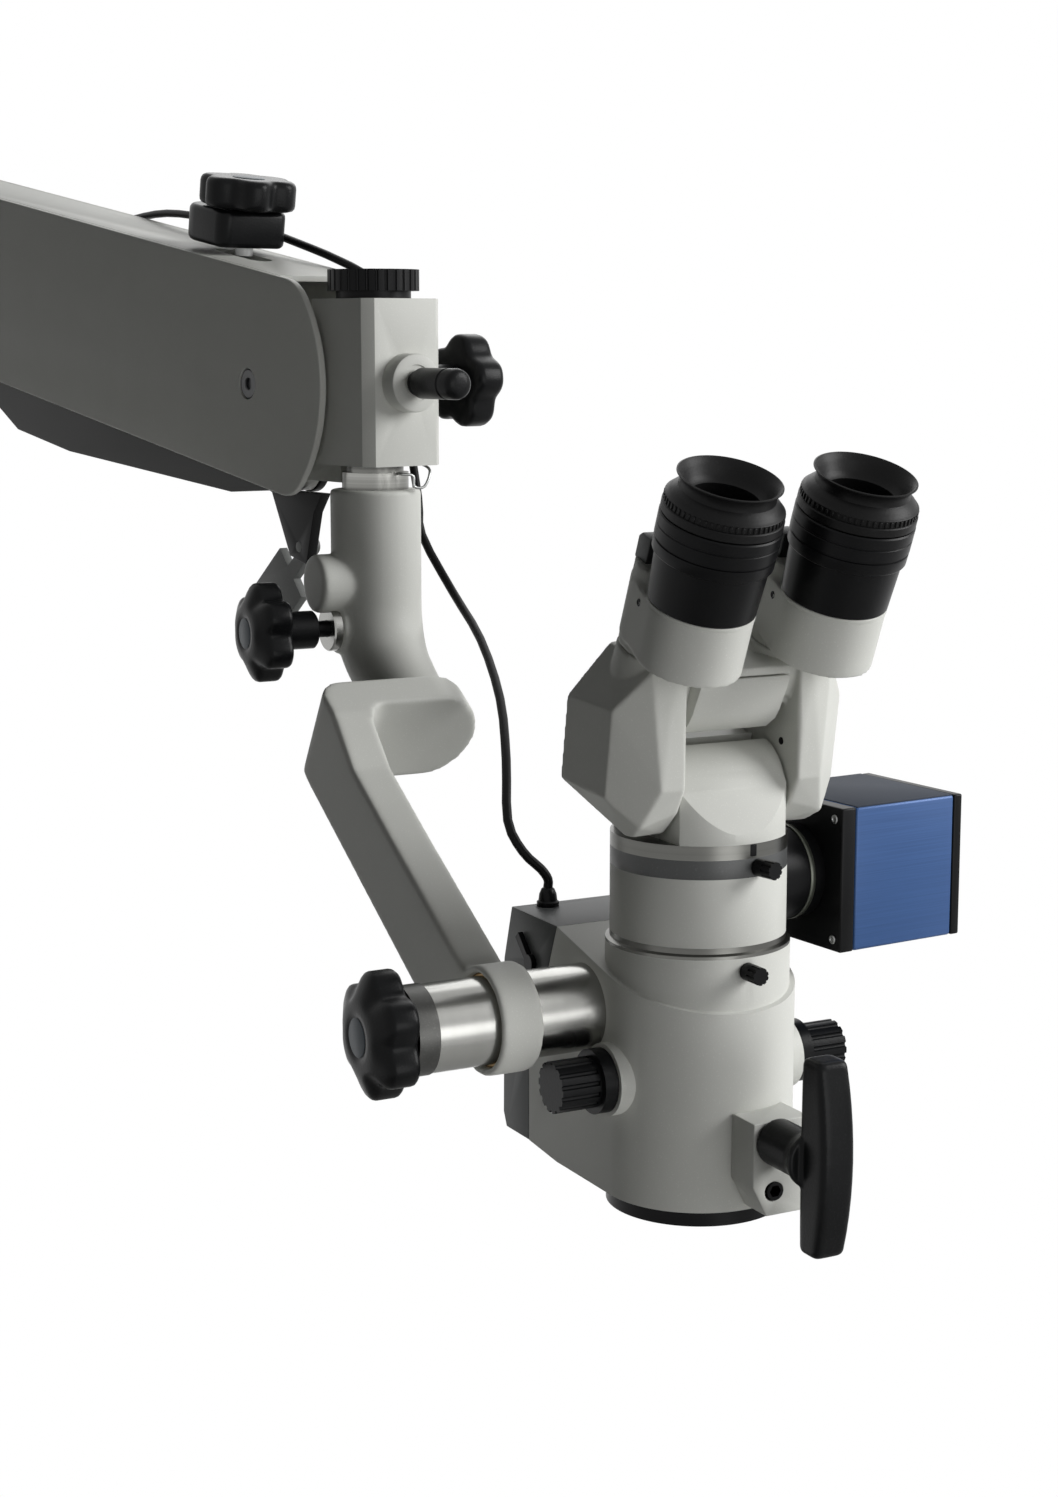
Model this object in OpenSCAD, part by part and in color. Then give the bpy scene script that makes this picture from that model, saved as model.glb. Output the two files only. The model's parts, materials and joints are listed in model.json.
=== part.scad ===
// Surgical operating microscope on its balanced suspension arm, millimetres, Z up.
// The origin is the shoulder of the vertical mounting pin under the rear block.
// Every module is drawn about the optical axis of the head and then moved to that origin.

/* [Optical head] */
// half width and front radius of the head housing
head_r = 44.5; // [38:0.5:60]
// wall of the head housing and of the arm's castings
head_wall = 4; // [3:0.5:6]
// height of the objective ring under the housing
objective_h = 7.5; // [5:0.5:12]
// radius of the objective ring
objective_r = 41; // [34:0.5:44]
// radius of the objective lens
lens_r = 27; // [20:0.5:32]
// height of the front edge of the sloping top
head_front_h = 98; // [85:1:105]
// height of the flat top at the back of the housing
head_top_h = 121.5; // [115:0.5:130]
// distance from the optical axis to the top of the rear seam
seam_y = 52; // [48:1:60]
// distance from the optical axis to the foot of the rear seam
seam_foot_y = 80; // [70:1:90]
// height where the slanted seam turns vertical
seam_foot_z = 50; // [40:1:60]
// distance from the optical axis to the back of the lamp cover
cover_back_y = 107; // [100:1:120]
// wall of the lamp cover
cover_wall = 3; // [2:0.5:4]

/* [Beam splitter and rings] */
// radius of the beam splitter body
splitter_r = 40; // [36:0.5:43]
// height of the beam splitter body
splitter_h = 30.8; // [26:0.2:40]
// radius of the white collar on top of the housing
collar_r = 42; // [38:0.5:43]
// height of the grooved ring below the beam splitter
groove_h = 4.7; // [3:0.1:7]
// height of the dark clamp ring
clamp_h = 8.5; // [6:0.5:12]
// height of the bright turning ring
turn_ring_h = 6.5; // [5:0.5:9]
// radius of each of the two light paths in the beam splitter
path_r = 9; // [7:0.5:11]
// distance between the two light paths
path_gap = 24; // [22:0.5:28]

/* [Camera] */
// side of the square camera case
camera_w = 67; // [55:1:80]
// length of the camera case
camera_len = 72; // [60:1:100]
// distance from the optical axis to the front of the camera
camera_x = 56; // [52:1:65]
// turn of the camera about the optical axis
camera_yaw = 5; // [0:1:15]
// thickness of the black front plate
camera_front = 8; // [5:0.5:10]
// thickness of the black back plate
camera_back = 5; // [3:0.5:8]
// radius of the camera port
port_r = 22; // [18:0.5:24]

/* [Zoom drum and knobs] */
// height of the drum axis above the underside of the head
drum_z = 62.5; // [58:0.5:66]
// radius of the magnification drum
drum_r = 26; // [22:0.5:27]
// length of the magnification drum
drum_len = 58; // [50:1:59]
// radius of the drum's shaft
drum_shaft_r = 6; // [4:0.5:8]
// radius of the knob's flange
knob_flange_r = 14.7; // [12:0.1:16]
// radius of the fluted grip
knob_grip_r = 11.7; // [9:0.1:13]
// length of the whole magnification knob
knob_len = 26.5; // [20:0.5:26.5]

/* [Handle] */
// radius of the handle's stem
stem_r = 11.5; // [9:0.5:13]
// height of the T grip
grip_h = 87; // [70:1:110]
// width of the T grip
grip_w = 23; // [18:1:28]

/* [Tilt shaft and crank] */
// radius of the tilt shaft
shaft_r = 20; // [16:0.5:20.5]
// height of the tilt shaft's axis
tilt_z = 90; // [84:0.5:93]
// distance of the tilt shaft's axis behind the optical axis
tilt_y = 25; // [20:0.5:30]
// thickness of the crank's leg
leg_t = 21.4; // [18:0.2:26]
// distance from the optical axis to the leg's inner face
leg_x = 77.7; // [76.5:0.1:90]
// length of the shaft that stands out of the leg
shaft_out = 28; // [20:1:40]
// slope of the crank's leg
crank_tilt = 31.5; // [20:0.5:45]
// distance from the shaft to the pad's face along the leg
pad_near = 204; // [190:1:230]
// thickness of the pad
pad_t = 19.5; // [15:0.5:25]
// radius of the pad's round end
pad_r = 26; // [22:0.5:30]

/* [Elbow and front block] */
// sideways place of the elbow's vertical axis
elbow_x = -37; // [-42:0.5:-30]
// distance of the elbow's vertical axis behind the optical axis
elbow_y = 270; // [270:0.5:270.5]
// radius of the elbow's tube
elbow_r = 24; // [20:0.5:26]
// height of the elbow's top
elbow_top = 312; // [305:1:316]
// radius of the spindle
spindle_r = 12; // [9:0.5:14]
// half width of the front block
block_w = 24.2; // [22:0.1:25]
// distance of the block's front face before the elbow axis
block_front = 29.1; // [26:0.1:34]
// height of the block's underside
block_z = 325; // [322:1:330]
// height of the block
block_h = 86; // [80:1:95]

/* [Arm] */
// turn of the arm about the elbow axis
arm_yaw = 10; // [0:1:20]
// rise of the arm at rest
arm_slope = 9.2; // [0:0.1:20]
// distance between the arm's two pivots
arm_len = 420; // [360:5:520]
// distance of the front pivot behind the elbow axis
pivot_u = 79; // [74:1:90]
// height of the front pivot
pivot_z = 366; // [362:1:370]
// distance between the upper and the lower pivots
link_drop = 44; // [42:1:48]
// outer half width of the arm
arm_w = 30; // [28:0.5:36]
// thickness of the side covers
side_t = 4; // [3:0.5:5]
// height of the side cover above the pivot line
cover_up = 61.4; // [58:0.1:66]
// depth of the side cover below the pivot line
cover_down = 52.5; // [48:0.5:54]
// radius of the cover's round ends
nose_r = 73; // [70:1:76]
// radius of the mounting pin
mount_r = 17.5; // [15:0.5:20]
// length of the mounting pin
mount_len = 70; // [50:1:90]

/* [Binocular] */
// lean of the eyepieces from the vertical towards the surgeon
tube_lean = 22; // [10:1:40]
// distance between the eyes
eye_gap = 67; // [60:0.5:70]
// length of the eyepiece tube above its white collar
eyepiece_len = 64; // [60:0.5:72]
// largest radius of the eyepiece
barrel_r = 28.5; // [26:0.5:29]
// radius of the white tube collar
tube_r = 25.5; // [24:0.5:27]
// height of the white tube collar
tube_h = 28; // [24:1:34]
// distance of the tube's turning axis behind its optical axis
turn_back = 24; // [20:0.5:26]
// half width of the binocular's base between the cheeks
dome_w = 27.5; // [24:0.5:28]
// outer half width of the cheeks
cheek_w = 59; // [54:0.5:62]
// height of the inclination axis above the turning ring
incline_h = 39; // [38:0.5:42]
// distance of the inclination axis before the optical axis
incline_y = 6; // [4:0.5:8]

/* [Cable] */
// radius of the cable
cable_r = 2.3; // [1.8:0.1:2.6]

/* [Hidden] */
$fn = 72;
// clearance of running and seated round fits
fit = 0.05;
// gap between faces that move past each other
gap = 0.4;
// overrun of every cut
cut = 1;

housing_bottom = objective_h;
cover_bottom = objective_h + 2.5 * cut;
seam_gap = 0.3;
splitter_wall = 8;
collar_bore = splitter_r - splitter_wall;
collar_top = head_top_h + cut;
splitter_z = collar_top + groove_h;
clamp_z = splitter_z + splitter_h;
turn_z = clamp_z + clamp_h;
dome_z = turn_z + turn_ring_h;
shaft_end_x = -(leg_x + leg_t + shaft_out);
band_h = 10;
clip_r = 4.4;
pin_r = 8;
link_pin_r = 6;
swivel_drop = 10;
elbow_reach = (elbow_y - tilt_y - sin(crank_tilt) * swivel_drop) / cos(crank_tilt);
elbow_z = tilt_z + sin(crank_tilt) * elbow_reach - cos(crank_tilt) * swivel_drop;
rear_u = pivot_u + arm_len * cos(arm_slope);
rear_z = pivot_z + arm_len * sin(arm_slope);
block_back = 57;
rear_block_len = 70;
rear_block_up = 56;
rear_block_down = 74;
mount_u = rear_u + block_back + rear_block_len / 2;
flange_h = 6;
mount_z = rear_z - rear_block_down - flange_h;
frame_in = arm_w - side_t;
frame_t = 5;
incline_z = dome_z + incline_h;
tube_before = 19;
seat_w = 50;

// Moves the head's own frame so that the mounting pin's shoulder is the origin.
module place() {
    translate([-elbow_x + mount_u * sin(arm_yaw), -elbow_y - mount_u * cos(arm_yaw), -mount_z])
        children();
}

// Frame of the block: X away from the surgeon's left, Y back along the arm.
module at_elbow() {
    translate([elbow_x, elbow_y, 0])
        rotate([0, 0, arm_yaw])
            children();
}

// Frame of the sloping arm about its front pivot.
module on_arm() {
    at_elbow()
        translate([0, pivot_u, pivot_z])
            rotate([arm_slope, 0, 0])
                children();
}

// Frame of the lower link about its front pivot.
module on_link() {
    at_elbow()
        translate([0, pivot_u, pivot_z - link_drop])
            rotate([arm_slope, 0, 0])
                children();
}

// Frame of the crank: Y along the leg, Z square to it.
module on_crank() {
    translate([0, tilt_y, tilt_z])
        rotate([crank_tilt, 0, 0])
            children();
}

// Frame of the tilted binocular about its inclination axis.
module on_tubes() {
    translate([0, -incline_y, incline_z])
        rotate([tube_lean, 0, 0])
            children();
}

// Plate along X from x, t thick, with its outline given in Y and Z.
module slab(x, t) {
    translate([x, 0, 0])
        rotate([90, 0, 90])
            linear_extrude(t)
                children();
}

// Round bar along X.
module bar_x(x, r, len) {
    translate([x, 0, 0])
        rotate([0, 90, 0])
            cylinder(r = r, h = len);
}

// Round bar along Y.
module bar_y(y, r, len) {
    translate([0, y, 0])
        rotate([-90, 0, 0])
            cylinder(r = r, h = len);
}

// Rectangle from a corner, with all four corners round.
module round_rect(w, h, r) {
    for (x = [r, w - r])
        for (y = [r, h - r])
            translate([x, y])
                circle(r = r);
    translate([r, 0])
        square([w - 2 * r, h]);
    translate([0, r])
        square([w, h - 2 * r]);
}

// Outline made of shares of two sizes.
function scaled(shares, w, h) = [for (p = shares) [p[0] * w, p[1] * h]];

// Star knob on +Z: lobed disc on a neck, with a stud below.
star_lobes = 6;
star_hub_share = 0.8;
star_lobe_share = 0.27;
module star_knob(r, t, neck_r, neck_h, stud_r, stud_h) {
    translate([0, 0, neck_h])
        linear_extrude(t) {
            circle(r = r * star_hub_share);
            for (i = [0:star_lobes - 1])
                rotate(i * 360 / star_lobes)
                    translate([r * (1 - star_lobe_share), 0])
                        circle(r = r * star_lobe_share);
        }
    cylinder(r = neck_r, h = neck_h);
    translate([0, 0, -stud_h])
        cylinder(r = stud_r, h = stud_h);
}

// Tongue of a block: two pivot eyes joined by a web, with the bores of both pins.
tongue_w = 8;
tongue_eye = 15;
module tongue(reach) {
    difference() {
        union() {
            slab(-tongue_w, 2 * tongue_w)
                union() {
                    circle(r = tongue_eye);
                    translate([0, -link_drop])
                        circle(r = tongue_eye);
                    translate([min(reach, 0), -link_drop - tongue_eye / 2])
                        square([abs(reach), link_drop + tongue_eye]);
                    translate([-tongue_eye, -link_drop])
                        square([2 * tongue_eye, link_drop]);
                }
            bar_x(-frame_in + frame_t + gap, tongue_eye, 2 * (frame_in - frame_t - gap));
        }
        bar_x(-frame_in, pin_r + fit, 2 * frame_in);
        translate([0, 0, -link_drop])
            bar_x(-frame_in, link_pin_r + fit, 2 * frame_in);
    }
}

// Rear suspension block, root of the arm.
module rear_block() {
    color("white")
        at_elbow()
            translate([0, rear_u, rear_z]) {
                tongue(block_back + cut);
                difference() {
                    translate([-block_w, block_back, -rear_block_down])
                        linear_extrude(rear_block_down + rear_block_up)
                            round_rect(2 * block_w, rear_block_len, corner_r);
                    translate([0, block_back + rear_block_len / 2, -rear_block_down - cut])
                        cylinder(r = spindle_r + fit, h = socket_h + cut);
                }
            }
}
corner_r = 5;
socket_h = 40;

// Turned mounting pin that drops into the stand's column.
module mount_spindle() {
    color("silver")
        at_elbow()
            translate([0, mount_u, mount_z]) {
                cylinder(r = spindle_r, h = flange_h + socket_h);
                cylinder(r = block_w, h = flange_h);
                translate([0, 0, -mount_len])
                    cylinder(r = mount_r, h = mount_len);
            }
}

// Steel frame of the arm: two plates round the pivots and two cross webs.
frame_end = 22;
web_p = 60;
web_t = 8;
frame_half = 20;
module arm_frame() {
    color("silver")
        on_arm()
            difference() {
                union() {
                    for (x = [-frame_in, frame_in - frame_t])
                        slab(x, frame_t) {
                            circle(r = frame_end);
                            translate([arm_len, 0])
                                circle(r = frame_end);
                            translate([0, -frame_half])
                                square([arm_len, 2 * frame_half]);
                        }
                    for (p = [web_p, arm_len - web_p - web_t])
                        translate([-frame_in + frame_t, p, -frame_half])
                            cube([2 * (frame_in - frame_t), web_t, 2 * frame_half]);
                    translate([-frame_in + frame_t, knob_p - bridge_len / 2, frame_half - web_t])
                        cube([2 * (frame_in - frame_t), bridge_len, web_t]);
                }
                for (p = [0, arm_len])
                    translate([0, p, 0])
                        bar_x(-arm_w, pin_r + fit, 2 * arm_w);
                for (p = [web_p, arm_len - web_p - web_t])
                    translate([0, 0, 0])
                        bar_y(p - cut, rod_r + fit, web_t + 2 * cut);
                translate([0, knob_p, 0])
                    cylinder(r = knob_stud_r + fit, h = cover_up);
            }
}
knob_p = 61;
bridge_len = 30;
rod_r = 5;
knob_stud_r = 5;

// Upper pivot pins, held in the arm frame and tapped for the cover screws.
screw_r = 3;
screw_depth = 12;
module arm_pins() {
    color("silver")
        on_arm()
            for (p = [0, arm_len])
                translate([0, p, 0])
                    difference() {
                        bar_x(-frame_in, pin_r, 2 * frame_in);
                        for (x = [-frame_in - cut, frame_in - screw_depth])
                            bar_x(x, screw_r + fit, screw_depth + cut);
                    }
}

// Side cover outline: flat top and bottom with round noses about both pivots.
module cover_outline() {
    intersection() {
        union() {
            circle(r = nose_r);
            translate([arm_len, 0])
                circle(r = nose_r);
            translate([0, -nose_r])
                square([arm_len, 2 * nose_r]);
        }
        translate([-nose_r, -cover_down])
            square([arm_len + 2 * nose_r, cover_down + cover_up]);
    }
}

// Two flat side covers with recesses for their screws.
head_r_screw = 6;
head_h_screw = 2.5;
module side_covers() {
    color("white")
        on_arm()
            difference() {
                for (x = [-arm_w, frame_in])
                    slab(x, side_t)
                        cover_outline();
                for (p = [0, arm_len])
                    translate([0, p, 0]) {
                        bar_x(-arm_w - cut, screw_r + fit, 2 * (arm_w + cut));
                        bar_x(-arm_w - cut, head_r_screw + fit, head_h_screw + cut);
                        bar_x(arm_w - head_h_screw, head_r_screw + fit, head_h_screw + cut);
                    }
            }
}

// Top cover between the side covers, with the slot of the tension screw.
top_t = 3;
top_lap = 20;
slot_len = 34;
slot_r = 7;
module top_cover() {
    color("white")
        on_arm()
            difference() {
                translate([-frame_in, -top_lap, cover_up - top_t])
                    cube([2 * frame_in, arm_len + 2 * top_lap, top_t]);
                translate([0, knob_p, cover_up - top_t - cut])
                    linear_extrude(top_t + 2 * cut)
                        union() {
                            for (y = [-slot_len / 2, slot_len / 2])
                                translate([0, y])
                                    circle(r = slot_r);
                            translate([-slot_r, -slot_len / 2])
                                square([2 * slot_r, slot_len]);
                        }
            }
}

// Four socket screws that hold the side covers on the pins.
socket_r = 2.9;
socket_depth = 1.6;
module cover_screws() {
    color("silver")
        on_arm()
            for (p = [0, arm_len])
                for (side = [0, 1])
                    mirror([side, 0, 0])
                        translate([0, p, 0])
                            difference() {
                                union() {
                                    bar_x(frame_in - screw_depth + cut, screw_r, screw_depth + side_t - head_h_screw);
                                    bar_x(arm_w - head_h_screw, head_r_screw, head_h_screw);
                                }
                                bar_x(arm_w - socket_depth, socket_r, socket_depth + cut);
                            }
}

// Balance spring in its tube, on a rod between the frame's webs.
spring_r = 14;
spring_gap = 30;
module balance_spring() {
    color("gray")
        on_arm() {
            bar_y(web_p, rod_r, arm_len - 2 * web_p);
            bar_y(web_p + web_t + spring_gap, spring_r, arm_len - 2 * (web_p + web_t + spring_gap));
            bar_y(arm_len - web_p, rod_r * 2, web_t);
        }
}

// Clip that holds the cable on the far side cover, and the closed inlet where it goes in.
clip_w = 8;
clip_places = [302, 425];
clip_q = 46;
module cable_clips() {
    color("black")
        on_arm()
            for (p = clip_places)
                translate([arm_w, p, clip_q])
                    difference() {
                        union() {
                            translate([0, 0, -clip_r])
                                cube([clip_r, clip_w, 2 * clip_r]);
                            translate([clip_r + 0.2 * cut, 0, 0])
                                bar_y(0, clip_r, clip_w);
                        }
                        if (p == clip_places[0])
                            translate([clip_r + 0.2 * cut, 0, 0])
                                bar_y(-cut, cable_r + gap, clip_w + 2 * cut);
                    }
}

// Tension knob with its steel screw through the slot.
tension_r = 26;
tension_t = 16;
tension_low_r = 22;
tension_low_t = 10;
tension_stem = 9;
module tension_knob() {
    color("black")
        on_arm()
            translate([0, knob_p, cover_up + tension_stem]) {
                star_knob(tension_r, tension_t, tension_low_r, tension_low_t, knob_stud_r, stud_len);
                translate([0, 0, -tension_stem])
                    cylinder(r = knob_stud_r, h = tension_stem);
            }
}
stud_len = tension_stem + cover_up - frame_half + web_t;

// Lower link of the parallelogram, a deep black channel.
link_in = tongue_w + gap;
link_t = 5;
link_eye = 16;
link_top = 10;
link_deep = 41;
link_shares = [[0, -0.36], [0.105, -0.61], [0.57, -1], [0.74, -1], [0.93, -0.36], [1, -0.36], [1, 0.23], [0, 0.23]];
module lower_link() {
    color("black")
        on_link()
            difference() {
                slab(-link_in - link_t, 2 * (link_in + link_t)) {
                    circle(r = link_eye);
                    translate([arm_len, 0])
                        circle(r = link_eye);
                    polygon(scaled(link_shares, arm_len, link_deep));
                }
                slab(-link_in, 2 * link_in)
                    union() {
                        translate([-link_eye - cut, -link_eye - cut])
                            square([link_eye + link_clear, 2 * link_eye + link_deep]);
                        translate([arm_len - link_clear, -link_eye - cut])
                            square([link_eye + link_clear + cut, 2 * link_eye + link_deep]);
                        translate([0, -link_deep + link_t])
                            square([arm_len, link_deep + link_top]);
                    }
                for (p = [0, arm_len])
                    translate([0, p, 0])
                        bar_x(-arm_w, link_pin_r + fit, 2 * arm_w);
            }
}
link_clear = 40;

// Lower pivot pins with their heads.
module link_pins() {
    color("silver")
        on_link()
            for (p = [0, arm_len])
                translate([0, p, 0]) {
                    bar_x(-link_in - link_t, link_pin_r, 2 * (link_in + link_t));
                    for (side = [0, 1])
                        mirror([side, 0, 0])
                            bar_x(link_in + link_t, link_pin_r + cut, 2 * cut);
                }
}

// Front block that carries the elbow's spindle.
block_chamfer = 5;
block_rear = 22;
module front_block() {
    color("white")
        at_elbow()
            difference() {
                union() {
                    translate([0, 0, block_z])
                        linear_extrude(block_h)
                            polygon([[-block_w, block_rear], [-block_w, -block_front + block_chamfer],
                                [-block_w + block_chamfer, -block_front], [block_w - block_chamfer, -block_front],
                                [block_w, -block_front + block_chamfer], [block_w, block_rear]]);
                    translate([0, pivot_u, pivot_z])
                        tongue(-pivot_u + block_rear - cut);
                }
                translate([0, 0, block_z - cut])
                    cylinder(r = spindle_r + fit, h = block_h + 2 * cut);
                translate([0, 0, plunger_z])
                    bar_y(-block_front - cut, plunger_r + fit, block_front);
                translate([0, -knob_side_u, plunger_z])
                    bar_x(spindle_r, knob_stud_r + fit, block_w);
            }
}
plunger_z = 368;
plunger_r = 5;
knob_side_u = 14;

// Bush of the index plunger on the block's front face.
plunger_collar_r = 14;
plunger_collar_h = 10;
module plunger_collar() {
    color("white")
        at_elbow()
            translate([0, 0, plunger_z])
                difference() {
                    bar_y(-block_front - plunger_collar_h, plunger_collar_r, plunger_collar_h);
                    bar_y(-block_front - plunger_collar_h - cut, plunger_r + fit, plunger_collar_h + 2 * cut);
                }
}

// Spring plunger that locks the swivel in its notches.
plunger_out = 38;
plunger_grip_r = 8.5;
plunger_in = 15;
plunger_travel = 6.5;
module index_plunger() {
    color("black")
        at_elbow()
            translate([0, 0, plunger_z]) {
                bar_y(-block_front - plunger_collar_h - gap, plunger_r, plunger_in + plunger_collar_h);
                bar_y(-block_front - plunger_collar_h - gap - plunger_out, plunger_grip_r, plunger_out);
            }
}

// Star knob that brakes the swivel, on the far side of the block.
side_knob_r = 25;
side_knob_t = 17;
side_neck_r = 9;
side_neck_h = 16;
module block_knob() {
    color("black")
        at_elbow()
            translate([block_w + gap, -knob_side_u, plunger_z])
                rotate([0, 90, 0])
                    star_knob(side_knob_r, side_knob_t, side_neck_r, side_neck_h, knob_stud_r, spindle_r / 2);
}

// Black bracket under the tongue that carries the lock lever.
bracket_x = 15;
bracket_t = 6;
bracket_deep = 36;
bracket_len = 42;
bracket_shares = [[-0.25, 0], [1, 0], [0.55, -1], [0.15, -1.1], [-0.05, -0.3]];
module lock_bracket() {
    color("black")
        at_elbow()
            translate([0, pivot_u - bracket_len / 2, pivot_z - link_drop - tongue_eye])
                difference() {
                    slab(-bracket_t / 2, bracket_t)
                        polygon(scaled(bracket_shares, bracket_len, bracket_deep));
                    translate([0, bracket_len * lever_share, -bracket_deep * lever_drop_share])
                        bar_x(-bracket_t, screw_r + fit, 2 * bracket_t);
                }
}
lever_share = 0.33;
lever_drop_share = 0.85;

// Lock lever hinged on the bracket: bar, plate and black tip.
lever_len = 30;
lever_plate = 34;
lever_t = 5;
lever_w = 9;
module lock_lever() {
    color("gray")
        at_elbow()
            translate([0, pivot_u - bracket_len / 2 + bracket_len * lever_share,
                pivot_z - link_drop - tongue_eye - bracket_deep * lever_drop_share]) {
                bar_x(-bracket_t / 2, screw_r, bracket_t + lever_t + gap);
                translate([bracket_t / 2 + gap, 0, 0])
                    rotate([lever_angle, 0, 0])
                        slab(0, lever_t) {
                            circle(r = lever_w / 2);
                            translate([0, -lever_w / 2])
                                square([lever_len, lever_w]);
                            translate([lever_len - lever_t, -lever_plate / 2])
                                square([lever_plate, lever_plate]);
                        }
            }
}
lever_angle = -40;

// Chrome spindle that carries the elbow under the block.
spindle_collar_r = 17.6;
spindle_neck_r = 15;
spindle_neck_h = 4;
module spindle() {
    color("silver")
        at_elbow() {
            translate([0, 0, elbow_top])
                cylinder(r = spindle_collar_r, h = block_z - spindle_neck_h - elbow_top);
            translate([0, 0, block_z - spindle_neck_h])
                cylinder(r = spindle_neck_r, h = spindle_neck_h);
            translate([0, 0, block_z])
                cylinder(r = spindle_r, h = block_h);
        }
}

// Knurled nut and its washer on top of the block.
nut_r = 24;
nut_h = 11;
washer_h = 4;
nut_flutes = 30;
flute_r = 0.9;
module spindle_nut() {
    color("black")
        at_elbow()
            translate([0, 0, block_z + block_h]) {
                cylinder(r = nut_r * 0.82, h = washer_h);
                translate([0, 0, washer_h])
                    difference() {
                        cylinder(r = nut_r, h = nut_h);
                        for (i = [0:nut_flutes - 1])
                            rotate(i * 360 / nut_flutes)
                                translate([nut_r, 0, -cut])
                                    cylinder(r = flute_r, h = nut_h + 2 * cut, $fn = 16);
                    }
            }
}

// Elbow casting: upright tube, round corner, stub towards the crank and knob boss.
stub_r = 20;
ring_h = 3;
boss_r = 14;
boss_x = 24;
boss_z = 239;
module elbow() {
    color("white")
        difference() {
            union() {
                translate([elbow_x, elbow_y, elbow_z])
                    cylinder(r = elbow_r, h = elbow_top - elbow_z);
                translate([elbow_x, elbow_y, elbow_z])
                    sphere(r = elbow_r);
                on_crank()
                    translate([elbow_x, 0, -swivel_drop])
                        bar_y(pad_near + pad_t + ring_h, stub_r, elbow_reach - pad_near - pad_t - ring_h);
                translate([elbow_x, elbow_y, boss_z])
                    bar_x(-boss_x - head_wall, boss_r, boss_x + head_wall);
            }
            on_crank()
                translate([elbow_x, 0, -swivel_drop])
                    bar_y(0, swivel_r + fit, elbow_reach - stub_r / 2);
            translate([elbow_x, elbow_y, boss_z])
                bar_x(-boss_x - head_wall - cut, knob_stud_r + fit, boss_x);
        }
}
swivel_r = 10;

// Star knob that brakes the crank's swivel.
elbow_knob_r = 26;
elbow_knob_t = 26;
elbow_neck_r = 8;
elbow_neck_h = 24;
elbow_stud_h = 14;
module elbow_knob() {
    color("black")
        translate([elbow_x - boss_x - head_wall - gap, elbow_y, boss_z])
            rotate([0, -90, 0])
                star_knob(elbow_knob_r, elbow_knob_t, elbow_neck_r, elbow_neck_h, knob_stud_r, elbow_stud_h);
}

// Swivel pin held in the elbow, with the ring that shows above the pad.
module swivel_pin() {
    color("white")
        on_crank()
            translate([elbow_x, 0, -swivel_drop]) {
                bar_y(pad_near + head_wall, swivel_r, elbow_reach - stub_r - pad_near - head_wall);
                bar_y(pad_near + pad_t, stub_r - cut, ring_h);
            }
}

// Crank casting: clamp ring round the shaft, leg, and pad with the swivel bore.
crank_ring_r = 25;
crank_low = 36;
crank_shares = [[-0.03, -0.96], [0.27, -1.44], [0.91, -1.48], [1, -1.44], [1, 0.64], [0.89, 0.64], [0.83, 0.5],
    [0.74, 0.28], [0.5, 0.3], [0.05, 0.4]];
pad_corner_r = 13;
module crank_arm() {
    color("white")
        on_crank()
            difference() {
                union() {
                    slab(-leg_x - leg_t, leg_t) {
                        circle(r = crank_ring_r);
                        polygon(scaled(crank_shares, pad_near + pad_t, crank_ring_r));
                    }
                    translate([0, pad_near + pad_t, 0])
                        rotate([90, 0, 0])
                            linear_extrude(pad_t)
                                union() {
                                    translate([elbow_x, -swivel_drop])
                                        circle(r = pad_r);
                                    translate([-leg_x - leg_t, -swivel_drop - pad_r])
                                        square([leg_x + leg_t + elbow_x, 2 * pad_r]);
                                }
                    translate([-leg_x, pad_near - fillet_r, -swivel_drop - pad_r])
                        linear_extrude(2 * pad_r)
                            difference() {
                                square([fillet_r, fillet_r]);
                                translate([fillet_r, 0])
                                    circle(r = fillet_r);
                            }
                }
                bar_x(-leg_x - leg_t - cut, shaft_r + bush_t + fit, leg_t + 2 * cut);
                translate([elbow_x, 0, -swivel_drop])
                    bar_y(pad_near + head_wall, swivel_r + fit, pad_t);
                translate([-leg_x - leg_t, pad_near + pad_t, -swivel_drop - pad_r - cut])
                    linear_extrude(2 * pad_r + 2 * cut)
                        difference() {
                            translate([-cut, -pad_corner_r])
                                square([pad_corner_r + cut, pad_corner_r + cut]);
                            translate([pad_corner_r, -pad_corner_r])
                                circle(r = pad_corner_r);
                        }
            }
}
fillet_r = 11;
bush_t = 1.5;

// Bronze bush between the crank's ring and the tilt shaft.
module shaft_bush() {
    color("goldenrod")
        translate([0, tilt_y, tilt_z])
            difference() {
                bar_x(-leg_x - leg_t, shaft_r + bush_t, leg_t);
                bar_x(-leg_x - leg_t - cut, shaft_r + fit, leg_t + 2 * cut);
            }
}

// Bright tilt shaft fixed in the head's side wall.
shaft_core_r = 14;
module tilt_shaft() {
    color("silver")
        translate([0, tilt_y, tilt_z])
            difference() {
                union() {
                    bar_x(shaft_end_x, shaft_r, -shaft_end_x - head_r);
                    bar_x(-head_r, shaft_core_r, head_wall + head_wall);
                }
                bar_x(shaft_end_x - cut, knob_stud_r + fit, shaft_out);
            }
}

// Grey band between the shaft's end and the tilt knob.
module shaft_collar() {
    color("gray")
        translate([0, tilt_y, tilt_z])
            difference() {
                bar_x(shaft_end_x - band_h, shaft_r + cut / 2, band_h);
                bar_x(shaft_end_x - band_h - cut, knob_stud_r + fit, band_h + 2 * cut);
            }
}

// Star knob that brakes the tilt.
tilt_knob_r = 29.5;
tilt_knob_t = 20.5;
module tilt_knob() {
    color("black")
        translate([shaft_end_x - band_h - gap, tilt_y, tilt_z])
            rotate([0, -90, 0])
                star_knob(tilt_knob_r, tilt_knob_t, shaft_core_r, cut, knob_stud_r, shaft_out);
}

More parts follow.
